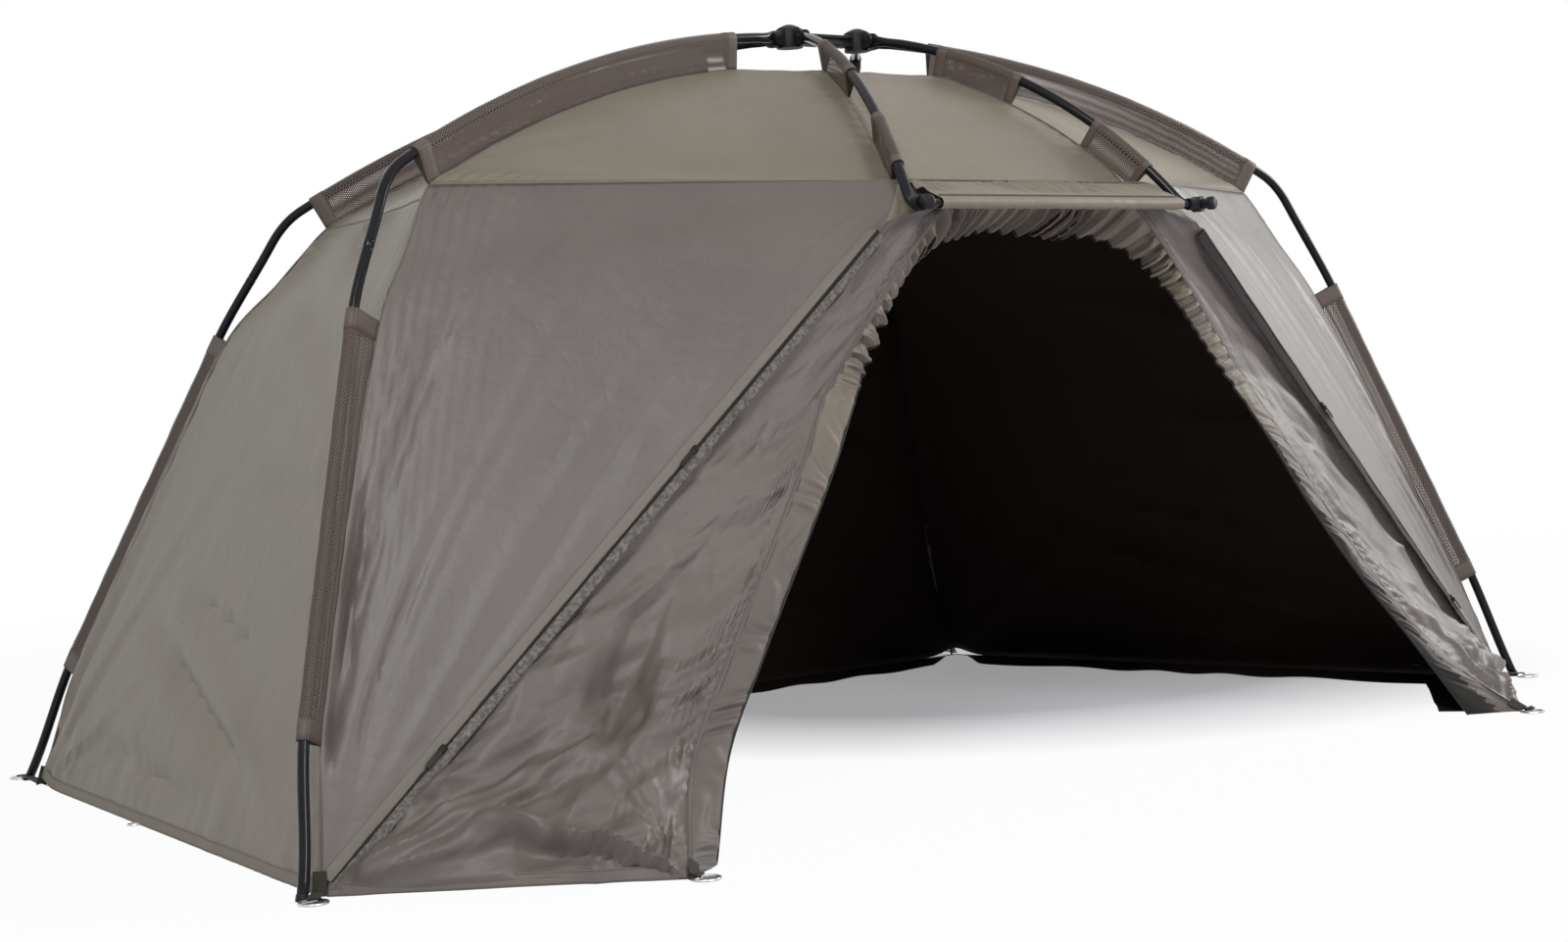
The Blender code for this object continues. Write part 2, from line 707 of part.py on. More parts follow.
def end_cap(name, side, look, parent):
    """A round cap pushed over the brow pole's end."""
    end = mirrored(BROW_END, side)
    along = unit(mirrored(BROW_END - PEAK, side))
    start = end - CAP_SOCKET_DEPTH * along
    inner = POLE_DIAMETER / 2 + SLIDE_FIT
    floor = CAP_SOCKET_DEPTH + SLIDE_FIT
    across = square_to(UP, along)
    rise = np.cross(along, across)
    stages = [(floor, inner), (0, inner), (0, CAP_RADIUS), (CAP_LENGTH - CAP_ROUND, CAP_RADIUS),
              (CAP_LENGTH, CAP_RADIUS - CAP_ROUND)]
    shape = Shape().loft([circle(start + d * along, r, across, rise, 20) for d, r in stages])
    return shape.object(name, look, start, parent)


# Sleeves


def sleeve_rings(points, webs, bore, web_length, thickness=SLEEVE_THICKNESS):
    """Outer and inner sections of a sleeve: a ring round the pole with a flat web on the canopy's side."""
    outer_radius = bore + thickness
    root = math.asin(WEB_THICKNESS / 2 / outer_radius)
    angles = np.linspace(root, math.tau - root, SLEEVE_ARC_POINTS)
    outer, inner = [], []
    for p, t, web in zip(points, tangents(points), webs):
        across = unit(np.cross(t, web))
        arc = [math.cos(a) * web + math.sin(a) * across for a in angles]
        tips = [p + (web_length - 2 * SEAM_GAP) * web + s * WEB_THICKNESS / 2 * across for s in (-1, 1)]
        outer.append([p + outer_radius * a for a in arc] + tips)
        middle = [math.cos(a) * web + math.sin(a) * across for a in (-root / 3, root / 3)]
        inner.append([p + bore * a for a in arc] + [p + bore * a for a in middle])
    return outer, inner


def sleeve_shape(points, webs, web_length, pole=POLE_DIAMETER, side=1):
    outer, inner = sleeve_rings(points, webs, pole / 2 + SLEEVE_LOOSE / 2, web_length)
    rings = [mirrored(r, side) for r in outer + inner[::-1]]
    return Shape().loft(rings, cyclic=True)


def binding(ridge, webs):
    """The tape that binds the bare stretch of a seam between two sleeves, let into their webs at both ends."""
    rings = []
    for p, t, web in zip(ridge, tangents(ridge), webs):
        across = unit(np.cross(t, web))
        low = p - 2.5 * SEAM_GAP * web
        high = low - BINDING_DEPTH * web
        half = BINDING_THICKNESS / 2 * across
        rings.append([low - half, low + half, high + half, high - half])
    return rings


def leg_sleeve(place, leg, label, side, look, parent):
    """The upper and the lower net sleeve of one leg, joined by the binding round the canopy's shoulder."""
    points, webs = leg.upper_frames()
    upper = sleeve_shape(points, webs, SLEEVE_WEB, side=side)
    name = f"sleeve_{place}_{label}"
    thing = upper.object(name, look, mirrored(leg.pivot, side), parent)
    low, high = leg.pole_point(LOWER_SLEEVE_BOTTOM), leg.pole_point(LOWER_SLEEVE_TOP)
    lower = sleeve_shape([low, high], [leg.web, leg.web], SLEEVE_WEB, side=side)
    cut(thing, name + "_lower", lower, "UNION")
    ridge = leg.ridge()
    first = RIDGE_SPANS - 2
    inset = BINDING_OVERLAP
    before = ridge[first] + inset * unit(ridge[first - 1] - ridge[first])
    after = ridge[first + 2] + inset * unit(ridge[first + 3] - ridge[first + 2])
    path = [before, *ridge[first:first + 3], after]
    aim = [leg.web, leg.web, unit(ridge[first + 1] - leg.bend), webs[-1], webs[-1]]
    strip = Shape().loft([mirrored(r, side) for r in binding(path, aim)])
    cut(thing, name + "_binding", strip, "UNION")
    return thing


def brow_sleeve(label, side, look, parent):
    """The two net sleeves of one brow pole and the binding between them."""
    near, far = BROW_SLEEVE_SHARES
    name = f"sleeve_brow_{label}"
    thing = sleeve_shape(*brow_frames(near), BROW_WEB, side=side).object(
        name, look, mirrored(BROW_PIVOT, side), parent)
    cut(thing, name + "_far", sleeve_shape(*brow_frames(far), BROW_WEB, side=side), "UNION")
    points, webs = brow_frames((near[-1], *BROW_BARE_SHARES, far[0]))
    ridge = [p + BROW_WEB * w for p, w in zip(points, webs)]
    before, after = brow_frames((near[-2], far[1]))[0]
    path = [ridge[0] + BINDING_OVERLAP * unit(before - points[0]), *ridge,
            ridge[-1] + BINDING_OVERLAP * unit(after - points[-1])]
    strip = Shape().loft([mirrored(r, side) for r in binding(path, [webs[0], *webs, webs[-1]])])
    cut(thing, name + "_binding", strip, "UNION")
    return thing


def hem_web():
    """The direction from the peak bar up and back to the brow's stitched line."""
    run = math.sqrt(HEM_SLEEVE_WEB ** 2 - HEM_SLEEVE_RISE ** 2)
    return unit(vec(0, run, HEM_SLEEVE_RISE))


def hem_sleeve(name, look, parent):
    """The brow's front flap, whose hem is a pocket round the peak bar."""
    y, z = bar_line()
    reach = BROW_CORNER_X - POLE_DIAMETER / 2
    points = [vec(-reach, y, z), vec(reach, y, z)]
    shape = sleeve_shape(points, [hem_web()] * 2, HEM_SLEEVE_WEB - FABRIC / 3, pole=PEAK_BAR_DIAMETER)
    return shape.object(name, look, (0, y, z), parent)


# Canopy


def patch(bottom, top, left, right):
    """A Coons patch: the smooth surface between four edges, as an array of rows."""
    bottom, top, left, right = (np.asarray(e, float) for e in (bottom, top, left, right))
    v = np.linspace(0, 1, len(left))[:, None, None]
    u = np.linspace(0, 1, len(bottom))[None, :, None]
    ruled_up = (1 - v) * bottom[None] + v * top[None]
    ruled_across = (1 - u) * left[:, None] + u * right[:, None]
    corners = ((1 - u) * (1 - v) * bottom[0] + u * (1 - v) * bottom[-1] + (1 - u) * v * top[0] + u * v * top[-1])
    return ruled_up + ruled_across - corners


def line(a, b, count):
    shares = np.linspace(0, 1, count)[:, None]
    return (1 - shares) * a + shares * b


def door_edge():
    """The free edge of the door from its foot to the middle of its top."""
    table = [vec(w * DOOR_HALF_WIDTH, DOOR_FOOT_Y + d * (DOOR_TOP_Y - DOOR_FOOT_Y), h * DOOR_HEIGHT)
             for w, d, h in DOOR_EDGE_SHARES]
    return blend_curve(table, DOOR_SPANS + 1)


def frill_seam():
    """The line where the gathered frill is sewn on: beside the door's edge, drawn out to a peg at its foot."""
    edge = door_edge()
    end = vec(FRILL_END_X, FRILL_END_Y, FRILL_END_Z)
    flare = np.clip(1 - edge[:, 2] / FLARE_HEIGHT, 0, 1)[:, None] ** 2
    beside = edge + vec(FRILL_SIDE, FRILL_BEHIND, 0) + flare * vec(FLARE_SIDE, -FLARE_PROUD, 0)
    turn = int(round(FRILL_TURN_SHARE * DOOR_SPANS))
    start = beside[:turn + 1]
    over = line(end, end * vec(0, 1, 1), DOOR_SPANS // 4 + 1)
    joint = blend_curve([start[-2], start[-1], end, over[1]], 40)
    first = int(np.argmin(np.linalg.norm(joint - start[-1], axis=1)))
    last = int(np.argmin(np.linalg.norm(joint - end, axis=1)))
    return start, joint[first:last + 1], over


def seam_split():
    """The frill seam's two stretches: up the infill panel, and across under the peak bar."""
    start, joint, over = frill_seam()
    side = resampled(np.vstack((start, joint[1:])), ZIP_SPANS + 1)
    return side, over


def dented(grid, depth_table, depth):
    """Presses soft straight folds into a patch, fading out at its edges and at the row next to them."""
    rows, columns = grid.shape[:2]
    v, u = np.meshgrid(np.linspace(0, 1, rows), np.linspace(0, 1, columns), indexing="ij")
    fade = np.clip((np.minimum(u, 1 - u) - 1.05 / (columns - 1)) * 6, 0, 1)
    fade = fade * np.clip((np.minimum(v, 1 - v) - 1.05 / (rows - 1)) * 6, 0, 1)
    across = grid[-1, 0] - grid[0, 0]
    normal = unit(np.cross(grid[0, -1] - grid[0, 0], across))
    offset = np.zeros_like(u)
    for (u0, v0), (u1, v1), strength in depth_table:
        run = np.array((u1 - u0, v1 - v0))
        length = np.linalg.norm(run)
        along = ((u - u0) * run[0] + (v - v0) * run[1]) / length ** 2
        off = ((u - u0) * -run[1] + (v - v0) * run[0]) / length
        inside = np.clip(along, 0, 1) * np.clip(1 - along, 0, 1) * 4
        offset += strength * inside * np.exp(-(off / 0.07) ** 2)
    return grid + (offset * fade * depth)[..., None] * normal


def bellied(grid, depth):
    """Lets a taut panel sag towards the inside, most in its middle."""
    rows, columns = grid.shape[:2]
    v, u = np.meshgrid(np.linspace(0, 1, rows), np.linspace(0, 1, columns), indexing="ij")
    amount = np.sin(math.pi * u) * np.sin(math.pi * v ** 0.9)
    across = grid[:, -1] - grid[:, 0]
    up = np.gradient(grid, axis=0)
    normal = np.cross(across[:, None], up)
    size = np.linalg.norm(normal, axis=2, keepdims=True)
    normal = np.where(size > 0, normal / np.where(size > 0, size, 1), 0)
    return grid - (amount * depth)[..., None] * normal


def canopy_panels():
    """Every panel as a grid, keyed by name. Neighbours share the points of their common seam."""
    ridge_f, ridge_r = FRONT.ridge(), REAR.ridge()
    shoulder = RIDGE_SPANS
    crown = ridge_f[-1]
    y, z = bar_line()
    brow_line = vec(0, y, z) + HEM_SLEEVE_WEB * hem_web()
    brow_corner = brow_line + vec(BROW_CORNER_X, 0, 0)
    brow_shares = (*BROW_SLEEVE_SHARES[0], *BROW_BARE_SHARES, *BROW_SLEEVE_SHARES[1])
    points, webs = brow_frames(brow_shares)
    brow = [p + BROW_WEB * w for p, w in zip(points, webs)][::-1]
    brow_ridge = np.array([brow_corner] + brow + [crown])
    upper_f = ridge_f[shoulder:]
    roof_rows = len(upper_f)
    brow_ridge = fitted(brow_ridge, roof_rows)
    zip_top = vec(ZIP_TOP_X, ZIP_TOP_Y, ZIP_TOP_Z)
    zip_line = line(FRONT.corner, zip_top, ZIP_SPANS + 1)
    roof_seam = line(ridge_f[shoulder], brow_corner, ZIP_SPANS + 1)
    side_seam, over_seam = seam_split()
    panels = {}
    for label, side in SIDES:
        def put(name, grid, side=side):
            panels[f"{name}_{label}"] = mirrored(grid, side)
        put("roof", patch(roof_seam, np.repeat(crown[None], ZIP_SPANS + 1, axis=0), upper_f, brow_ridge))
        hem = line(FRONT.corner, REAR.corner, SIDE_COLUMNS + 1)
        wall = patch(hem, np.repeat(crown[None], SIDE_COLUMNS + 1, axis=0), ridge_f, ridge_r)
        put("wall", bellied(wall, WALL_SAG))
        short = line(zip_top, brow_corner, RIDGE_SPANS + 1)
        put("side_panel", patch(zip_line, roof_seam, ridge_f[:shoulder + 1], short))
        foot_hem = line(FRONT.corner, side_seam[0], ROOF_COLUMNS + 1)
        head = line(zip_top, side_seam[-1], ROOF_COLUMNS + 1)
        infill = patch(foot_hem, head, zip_line, side_seam)
        put("infill", dented(infill, INFILL_FOLD_SHARES, FOLD_DEPTH))
    left_brow = mirrored(brow_ridge, -1)
    stitched = line(left_brow[0], brow_ridge[0], ROOF_COLUMNS + 1)
    top = line(left_brow[-1], brow_ridge[-1], ROOF_COLUMNS + 1)
    panels["roof_front"] = patch(stitched, top, left_brow, brow_ridge)
    left_rear = mirrored(ridge_r, -1)
    hem = line(REAR.corner, left_rear[0], REAR_COLUMNS + 1)
    top = line(ridge_r[-1], left_rear[-1], REAR_COLUMNS + 1)
    panels["wall_rear"] = bellied(patch(hem, top, ridge_r, left_rear), WALL_SAG)
    panels["door_frill"] = frill_grid(side_seam, over_seam)
    return panels


def joined_roof(faces):
    """The three roof panels as one piece of cloth, because the crown and the brow seams are sewn flat."""
    roof = []
    for name in ("roof_front", "roof_left", "roof_right"):
        roof += faces.pop(name)
    faces["roof"] = roof
    return faces


def fitted(points, count):
    """A ridge with as many points as its neighbour, by splitting its longest spans."""
    points = [np.asarray(p, float) for p in points]
    while len(points) < count:
        spans = [np.linalg.norm(points[i + 1] - points[i]) for i in range(len(points) - 1)]
        k = int(np.argmax(spans))
        points.insert(k + 1, 0.5 * (points[k] + points[k + 1]))
    return np.array(points)


def frill_grid(side_seam, over_seam):
    """The elastic frill round the whole door: smooth at its seam, gathered in waves at its free edge."""
    half_seam = np.vstack((side_seam, over_seam[1:]))
    half_edge = door_edge()
    whole_seam = np.vstack((mirrored(half_seam, -1), half_seam[::-1][1:]))
    whole_edge = np.vstack((mirrored(half_edge, -1), half_edge[::-1][1:]))
    count = FRILL_WAVES * FRILL_SPANS_PER_WAVE + 1
    seam = spread(whole_seam, count)
    edge = resampled(whole_edge, count)
    rows = [seam + (edge - seam) * b / FRILL_BANDS for b in range(FRILL_BANDS + 1)]
    along = tangents(seam)
    out = edge - seam
    normal = np.cross(along, out)
    normal /= np.linalg.norm(normal, axis=1)[:, None]
    steps = np.arange(count) / FRILL_SPANS_PER_WAVE * math.tau
    ends = np.clip(np.minimum(np.arange(count), np.arange(count)[::-1]) / FRILL_SPANS_PER_WAVE, 0, 1)
    for b in range(1, FRILL_BANDS + 1):
        wave = GATHER_DEPTH * b / FRILL_BANDS * np.sin(steps) * ends
        rows[b] = rows[b] + wave[:, None] * normal
    return np.array(rows)


def spread(points, count):
    """A path with more points: each of its own points is kept and the spans between them are divided."""
    spans = len(points) - 1
    marks = np.linspace(0, spans, count)
    keys = np.arange(len(points))
    snapped = np.interp(marks, marks, marks)
    nearest = {int(round(k * (count - 1) / spans)): k for k in keys}
    for place, k in nearest.items():
        snapped[place] = k
    return np.column_stack([np.interp(snapped, keys, points[:, i]) for i in range(3)])


def sew(panels):
    """Gives every panel its thickness. Inner faces are offset along normals that neighbours share."""
    place_of = {}
    faces = {}
    total = []
    for name, grid in panels.items():
        rows, columns = grid.shape[:2]
        index = np.empty((rows, columns), int)
        for i in range(rows):
            for j in range(columns):
                key = tuple(np.round(grid[i, j] / FABRIC * 8).astype(int))
                if key not in place_of:
                    place_of[key] = len(total)
                    total.append(grid[i, j])
                index[i, j] = place_of[key]
        quads = []
        for i in range(rows - 1):
            for j in range(columns - 1):
                loop = [index[i, j], index[i, j + 1], index[i + 1, j + 1], index[i + 1, j]]
                loop = [q for k, q in enumerate(loop) if q != loop[k - 1]]
                if len(loop) > 2:
                    quads.append(loop)
        faces[name] = hollowed(np.array(total), facing_out(np.array(total), quads))
    points = np.array(total)
    for name, quads in faces.items():
        faces[name] = stitched_edges(points, quads)
    return points, faces, shared_normals(points, faces)


def stitched_edges(points, quads):
    """Adds a neighbour's seam points to a panel's border edges, so that both panels turn the seam alike."""
    extra = {}
    for a, b in border_loops(quads):
        run = points[b] - points[a]
        share = (points - points[a]) @ run / np.dot(run, run)
        miss = np.linalg.norm(points - points[a] - share[:, None] * run, axis=1)
        found = [q for q in np.argsort(share) if SEAM_GAP < share[q] * np.linalg.norm(run) and share[q] < 1
                 and miss[q] < SEAM_GAP / 3 and q not in (a, b)]
        if found:
            extra[(a, b)] = [int(q) for q in found]
    result = []
    for loop in quads:
        chain = []
        for k, q in enumerate(loop):
            chain += extra.get((loop[k - 1], q), []) + [q]
        result.append(chain)
    return result


def hollowed(points, quads):
    """Splits twisted quads along the diagonal that keeps the cloth inside what is sewn on it."""
    result = []
    for loop in quads:
        if len(loop) == 3:
            result.append(loop)
            continue
        a, b, c, d = loop
        lift = np.dot(points[a] + points[c] - points[b] - points[d], face_normal(points, loop))
        if abs(lift) < SEAM_GAP / 3:
            result.append(loop)
        elif lift < 0:
            result += [[a, b, c], [a, c, d]]
        else:
            result += [[a, b, d], [b, c, d]]
    return result


def facing_out(points, quads):
    """Turns a panel's faces so that their normals point away from the tent's middle."""
    heart = vec(0, HUB_SETBACK, BEND_HEIGHT / 3)
    away = 0
    for loop in quads:
        a, b, c = points[loop[0]], points[loop[1]], points[loop[2]]
        away += np.dot(np.cross(b - a, c - a), points[loop].mean(axis=0) - heart)
    if away > 0:
        return quads
    return [loop[::-1] for loop in quads]


def face_normal(points, loop):
    corners = points[loop]
    total = np.zeros(3)
    for k in range(len(loop)):
        total += np.cross(corners[k - 1], corners[k])
    return unit(total)


def shared_normals(points, faces):
    """A direction for each point that keeps the fabric's thickness on all the faces round it."""
    around = [[] for _ in points]
    for loops in faces.values():
        for loop in loops:
            normal = face_normal(points, loop)
            for q in loop:
                around[q].append(normal)
    result = np.zeros_like(points)
    for q, normals in enumerate(around):
        if not normals:
            continue
        mean = unit(np.sum(normals, axis=0))
        if points[q][2] < FABRIC:
            mean = level(mean)
        least = max(0.45, min(np.dot(mean, n) for n in normals))
        result[q] = mean / least
    return result


def border_loops(quads):
    """The directed border edges of a panel."""
    edges = {}
    for loop in quads:
        for k in range(len(loop)):
            edges[(loop[k - 1], loop[k])] = True
    return [(a, b) for a, b in edges if (b, a) not in edges]


def panel_shape(points, quads, normals, gap):
    """One panel as a closed skin, its border drawn in by a gap so that its neighbours stay clear."""
    used = sorted({q for loop in quads for q in loop})
    new = {q: i for i, q in enumerate(used)}
    border = border_loops(quads)
    pull = {q: np.zeros(3) for q in used}
    for a, b in border:
        for loop in quads:
            if any(loop[k - 1] == a and loop[k] == b for k in range(len(loop))):
                inward = np.cross(face_normal(points, loop), unit(points[b] - points[a]))
                for q in (a, b):
                    pull[q] = pull[q] + inward
                break
    outer, inner = [], []
    for q in used:
        shift = np.zeros(3)
        if np.linalg.norm(pull[q]) > 0.05:
            direction = unit(pull[q])
            shift = direction * gap
        p = points[q] + shift
        low = p - normals[q] * FABRIC
        if points[q][2] < FABRIC:
            p = p * vec(1, 1, 0)
            low = low * vec(1, 1, 0)
        outer.append(p)
        inner.append(low)
    count = len(used)
    faces = [tuple(new[q] for q in loop) for loop in quads]
    faces += [tuple(count + new[q] for q in loop)[::-1] for loop in quads]
    faces += [(new[b], new[a], count + new[a], count + new[b]) for a, b in border]
    return Shape().add(outer + inner, faces)


def mud_skirt(name, look):
    """The flap that lies on the ground inside the walls, as one mitred strip from door side to door side."""
    side_seam, _ = seam_split()
    end = side_seam[0] + 4 * FABRIC * unit(FRONT.corner - side_seam[0])
    half = [end, FRONT.corner, REAR.corner]
    outline = [mirrored(p, -1) for p in half] + half[::-1]
    inset = SKIRT_INSET
    outer = offset_path(outline, inset)
    inner = offset_path(outline, inset + SKIRT_WIDTH)
    rings = [[a, b, b + FABRIC * UP, a + FABRIC * UP] for a, b in zip(outer, inner)]
    return Shape().loft(rings).object(name, look)


def offset_path(points, distance):
    """An open path on the ground moved to its right by a distance, mitred at its corners."""
    result = []
    for i, p in enumerate(points):
        before = unit(p - points[i - 1]) if i else None
        after = unit(points[i + 1] - p) if i + 1 < len(points) else None
        rights = [np.cross(d, UP) for d in (before, after) if d is not None]
        mean = unit(np.sum(rights, axis=0))
        result.append(p + mean * distance / np.dot(mean, rights[0]))
    return result


# Zips


def zip_stations(panels, side):
    """Points of the zip line, each with the directions into the infill and into the side panel, and their normals."""
    label = dict((s, name) for name, s in SIDES)[side]
    infill, flank = panels[f"infill_{label}"], panels[f"side_panel_{label}"]
    along = unit(infill[-1, 0] - infill[0, 0])
    stations = []
    for i, p in enumerate(infill[:, 0]):
        door_way = square_to(infill[i, 1] - p, along)
        flank_way = square_to(flank[1, i] - p, along)
        door_normal = outward(np.cross(along, door_way))
        flank_normal = outward(np.cross(along, flank_way))
        stations.append((p, door_way, flank_way, door_normal, flank_normal))
    inset = ZIP_END_INSET / np.linalg.norm(infill[1, 0] - infill[0, 0])
    for end, inner in ((0, 1), (-1, -2)):
        drawn = [a + inset * (b - a) for a, b in zip(stations[end], stations[inner])]
        stations[end] = (drawn[0], *(unit(d) for d in drawn[1:]))
    return along, stations


def outward(normal):
    """The normal turned to face forward, away from the tent."""
    return normal * -np.sign(normal[1])


def zip_tape(name, side, panels, look):
    """A zip that follows both panels: a tape with two wings, and the closed coil standing along its middle."""
    half, coil = ZIP_TAPE_WIDTH / 2, ZIP_COIL_WIDTH / 2
    low = ZIP_LIFT
    high = low + ZIP_TAPE_THICKNESS
    along, stations = zip_stations(panels, side)
    rings = []
    for p, door_way, flank_way, door_normal, flank_normal in stations:
        middle = unit(door_normal + flank_normal)
        mitre = middle / np.dot(middle, door_normal)
        top = p + (low + ZIP_COIL_HEIGHT) * mitre
        sideways = unit(flank_way - door_way)
        rings.append([p + half * door_way + low * door_normal, p + low * mitre,
                      p + half * flank_way + low * flank_normal, p + half * flank_way + high * flank_normal,
                      p + coil * flank_way + high * flank_normal, top + coil / 2 * sideways,
                      top - coil / 2 * sideways, p + coil * door_way + high * door_normal,
                      p + half * door_way + high * door_normal])
    return Shape().loft(rings).object(name, look)


def slider(name, side, share, panels, look, parent):
    """A zip slider with a tapered nose and its fabric pull hanging down the zip."""
    along, stations = zip_stations(panels, side)
    number = int(share * (len(stations) - 1))
    door_normal, flank_normal = stations[number][3:]
    normal = unit(door_normal + flank_normal)
    across = np.cross(normal, along)
    low = ZIP_LIFT + ZIP_COIL_HEIGHT + SLIDER_STANDOFF
    start, end = stations[0][0], stations[-1][0]
    place = start + share * (end - start) + low * normal
    half_l, half_w = SLIDER_LENGTH / 2, SLIDER_WIDTH / 2
    shape = Shape()
    rings = []
    for d, w, h in ((-half_l, 0.6, 0.7), (-0.6 * half_l, 0.9, 1.0), (0.5 * half_l, 1.0, 1.0), (half_l, 0.75, 0.7)):
        rings.append([place + d * along + a * w * half_w * across + b * h * SLIDER_HEIGHT * normal
                      for a, b in ((-1, 0), (1, 0), (1, 0.6), (0.6, 1), (-0.6, 1), (-1, 0.6))])
    thing = shape.loft(rings).object(name, look, place, parent)
    hang = place + (SLIDER_HEIGHT - PULL_THICKNESS / 2) * normal
    shift = PULL_THICKNESS * normal
    strip = []
    for d, w in ((0, 0.5), (0.15, 1.0), (0.85, 1.0), (1.0, 0.7)):
        p = hang - d * PULL_LENGTH * along
        half = w * PULL_WIDTH / 2
        strip.append([p - half * across, p + half * across, p + half * across + shift, p - half * across + shift])
    cut(thing, name + "_pull", Shape().loft(strip), "UNION")
    return thing


# Peg discs and rings


def disc_places():
    """Where the six discs lie: name, centre, and the direction that points away from the canopy."""
    places = []
    for label, side in SIDES:
        for name, leg, out in (("front", FRONT, vec(0, -1, 0)), ("rear", REAR, vec(0, 1, 0))):
            foot = mirrored(leg.foot, side)
            reach = DISC_RADIUS + POLE_DIAMETER / 2 + PLUG_FLANGE + DISC_STANDOFF
            places.append((f"{name}_{label}", foot + reach * out, out))
        side_seam, _ = seam_split()
        foot = mirrored(side_seam[0], side)
        away = level(foot - mirrored(FRONT.corner, side))
        out = unit(away + vec(0, -1, 0))
        places.append((f"door_{label}", foot + DISC_RADIUS * out, out))
    return places


def peg_discs(look):
    """Six pressed discs with a rolled rim and a slot for the webbing and the peg."""
    for name, centre, out in disc_places():
        across = np.cross(UP, out)
        r0, r1 = DISC_RADIUS, DISC_RADIUS - DISC_RIM
        profile = [(0, r1), (0, r0 - DISC_PLATE / 2), (DISC_HEIGHT / 2, r0), (DISC_HEIGHT, r0 - DISC_PLATE / 2),
                   (DISC_HEIGHT, r1 + DISC_PLATE / 2), (DISC_PLATE, r1 - DISC_PLATE / 2)]
        outer = [circle(centre + d * UP, r, out, across, DISC_SIDES) for d, r in profile]
        slot = slot_ring(centre - DISC_SLOT_OFFSET * out, out, across, DISC_SIDES)
        rings = outer + [[p + DISC_PLATE * UP for p in slot], slot]
        Shape().loft(rings, cyclic=True).object(f"peg_disc_{name}", look, centre)


def slot_ring(centre, out, across, count):
    """The round-ended slot, with its points at the bearings of the disc's own."""
    half = DISC_SLOT_LENGTH / 2 - DISC_SLOT_WIDTH / 2
    ring = []
    for k in range(count):
        a = k * math.tau / count
        shift = half * np.sign(math.sin(a)) * min(1.0, abs(math.sin(a)) * 1.5)
        ring.append(centre + DISC_SLOT_WIDTH / 2 * math.cos(a) * out
                    + (DISC_SLOT_WIDTH / 2 * math.sin(a) + shift) * across)
    return ring


def hem_ring(name, side, look):
    """A D-shaped wire ring that lies on the ground at the side hem, for a middle peg."""
    a, b = mirrored(FRONT.corner, side), mirrored(REAR.corner, side)
    along = unit(b - a)
    out = side * np.cross(along, UP)
    hem = b + HEM_RING_SHARE * (a - b)
    radius = RING_WIRE / 2
    base = hem + radius * out + radius * UP
    path = [base - RING_WIDTH / 2 * along, base + RING_WIDTH / 2 * along]
    angles = np.linspace(math.radians(20), math.radians(160), 7)
    path += [base + RING_WIDTH / 2 * math.cos(a) * along + RING_DEPTH * math.sin(a) * out for a in angles]
    rings = []
    for i, p in enumerate(path):
        t = unit(path[(i + 1) % len(path)] - path[i - 1])
        rings.append(circle(p, radius, np.cross(t, UP), UP, 6))
    return Shape().loft(rings, cyclic=True).object(name, look, base)


def build():
    for thing in list(bpy.data.objects):
        bpy.data.objects.remove(thing, do_unlink=True)

    black_pole = material("black_pole", (0.012, 0.012, 0.014), 0.25, 0.3)
    black_moulding = material("black_moulding", (0.02, 0.02, 0.022), 0.5)
    steel = material("steel", (0.55, 0.55, 0.56), 0.3, 1.0)
    bright = material("bright_disc", (0.62, 0.62, 0.62), 0.35, 1.0)
    net = material("net", (0.13, 0.105, 0.085), 0.8)
    roof_cloth = material("roof_cloth", (0.21, 0.19, 0.15), 0.65)
    door_cloth = material("door_cloth", (0.15, 0.135, 0.115), 0.5)
    skirt_cloth = material("skirt_cloth", (0.01, 0.01, 0.01), 0.7)
    zip_black = material("zip_black", (0.025, 0.024, 0.02), 0.5)

    hub_bar("hub_bar", black_moulding)
    for label, side in SIDES:
        knuckle(f"hub_knuckle_{label}", side, black_moulding)
        hinge_pins(label, side, steel)

    for place, leg in (("front", FRONT), ("rear", REAR)):
        for label, side in SIDES:
            fold = empty(f"fold_{place}_{label}", mirrored(leg.pivot, side))
            plug = empty(f"plug_{place}_{label}", mirrored(leg.joint, side))
            arm(f"arm_{place}_{label}", leg, side, black_pole, fold)
            leg_sleeve(place, leg, label, side, net, fold)
            lower_pole(f"lower_pole_{place}_{label}", leg, side, black_pole, plug)
            foot_plug(f"foot_{place}_{label}", leg, side, black_moulding, plug)

    hoop = empty("fold_brow", vec(0, HUB_SETBACK - PIVOT_RADIUS, HUB_HEIGHT))
    for label, side in SIDES:
        brow_pole(f"brow_pole_{label}", side, black_pole, hoop)
        brow_sleeve(label, side, net, hoop)
        bar_clamp(f"bar_clamp_{label}", side, black_moulding, hoop)
        end_cap(f"brow_cap_{label}", side, black_moulding, hoop)
    peak_bar("peak_bar", black_pole, hoop)
    hem_sleeve("brow_hem", roof_cloth, hoop)

    panels = canopy_panels()
    points, faces, normals = sew(panels)
    for name, quads in joined_roof(faces).items():
        look = door_cloth if name.startswith(("infill", "door", "side")) else roof_cloth
        gap = FRILL_SEAM_GAP if name == "door_frill" else PANEL_SEAM_GAP
        panel_shape(points, quads, normals, gap).object(name, look, smooth_angle=50)
    mud_skirt("mud_skirt", skirt_cloth)

    for label, side in SIDES:
        zip_tape(f"zip_tape_{label}", side, panels, zip_black)
        for level_name, share in (("upper", UPPER_SLIDER_SHARE), ("lower", LOWER_SLIDER_SHARE)):
            slider(f"zip_slider_{level_name}_{label}", side, share, panels, zip_black, None)
        hem_ring(f"hem_ring_{label}", side, steel)
    peg_discs(bright)


build()
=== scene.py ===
"""Bivvy tent: poles, net sleeves, taut cloth, gathered door frill, zips and webbing, with a plain studio."""

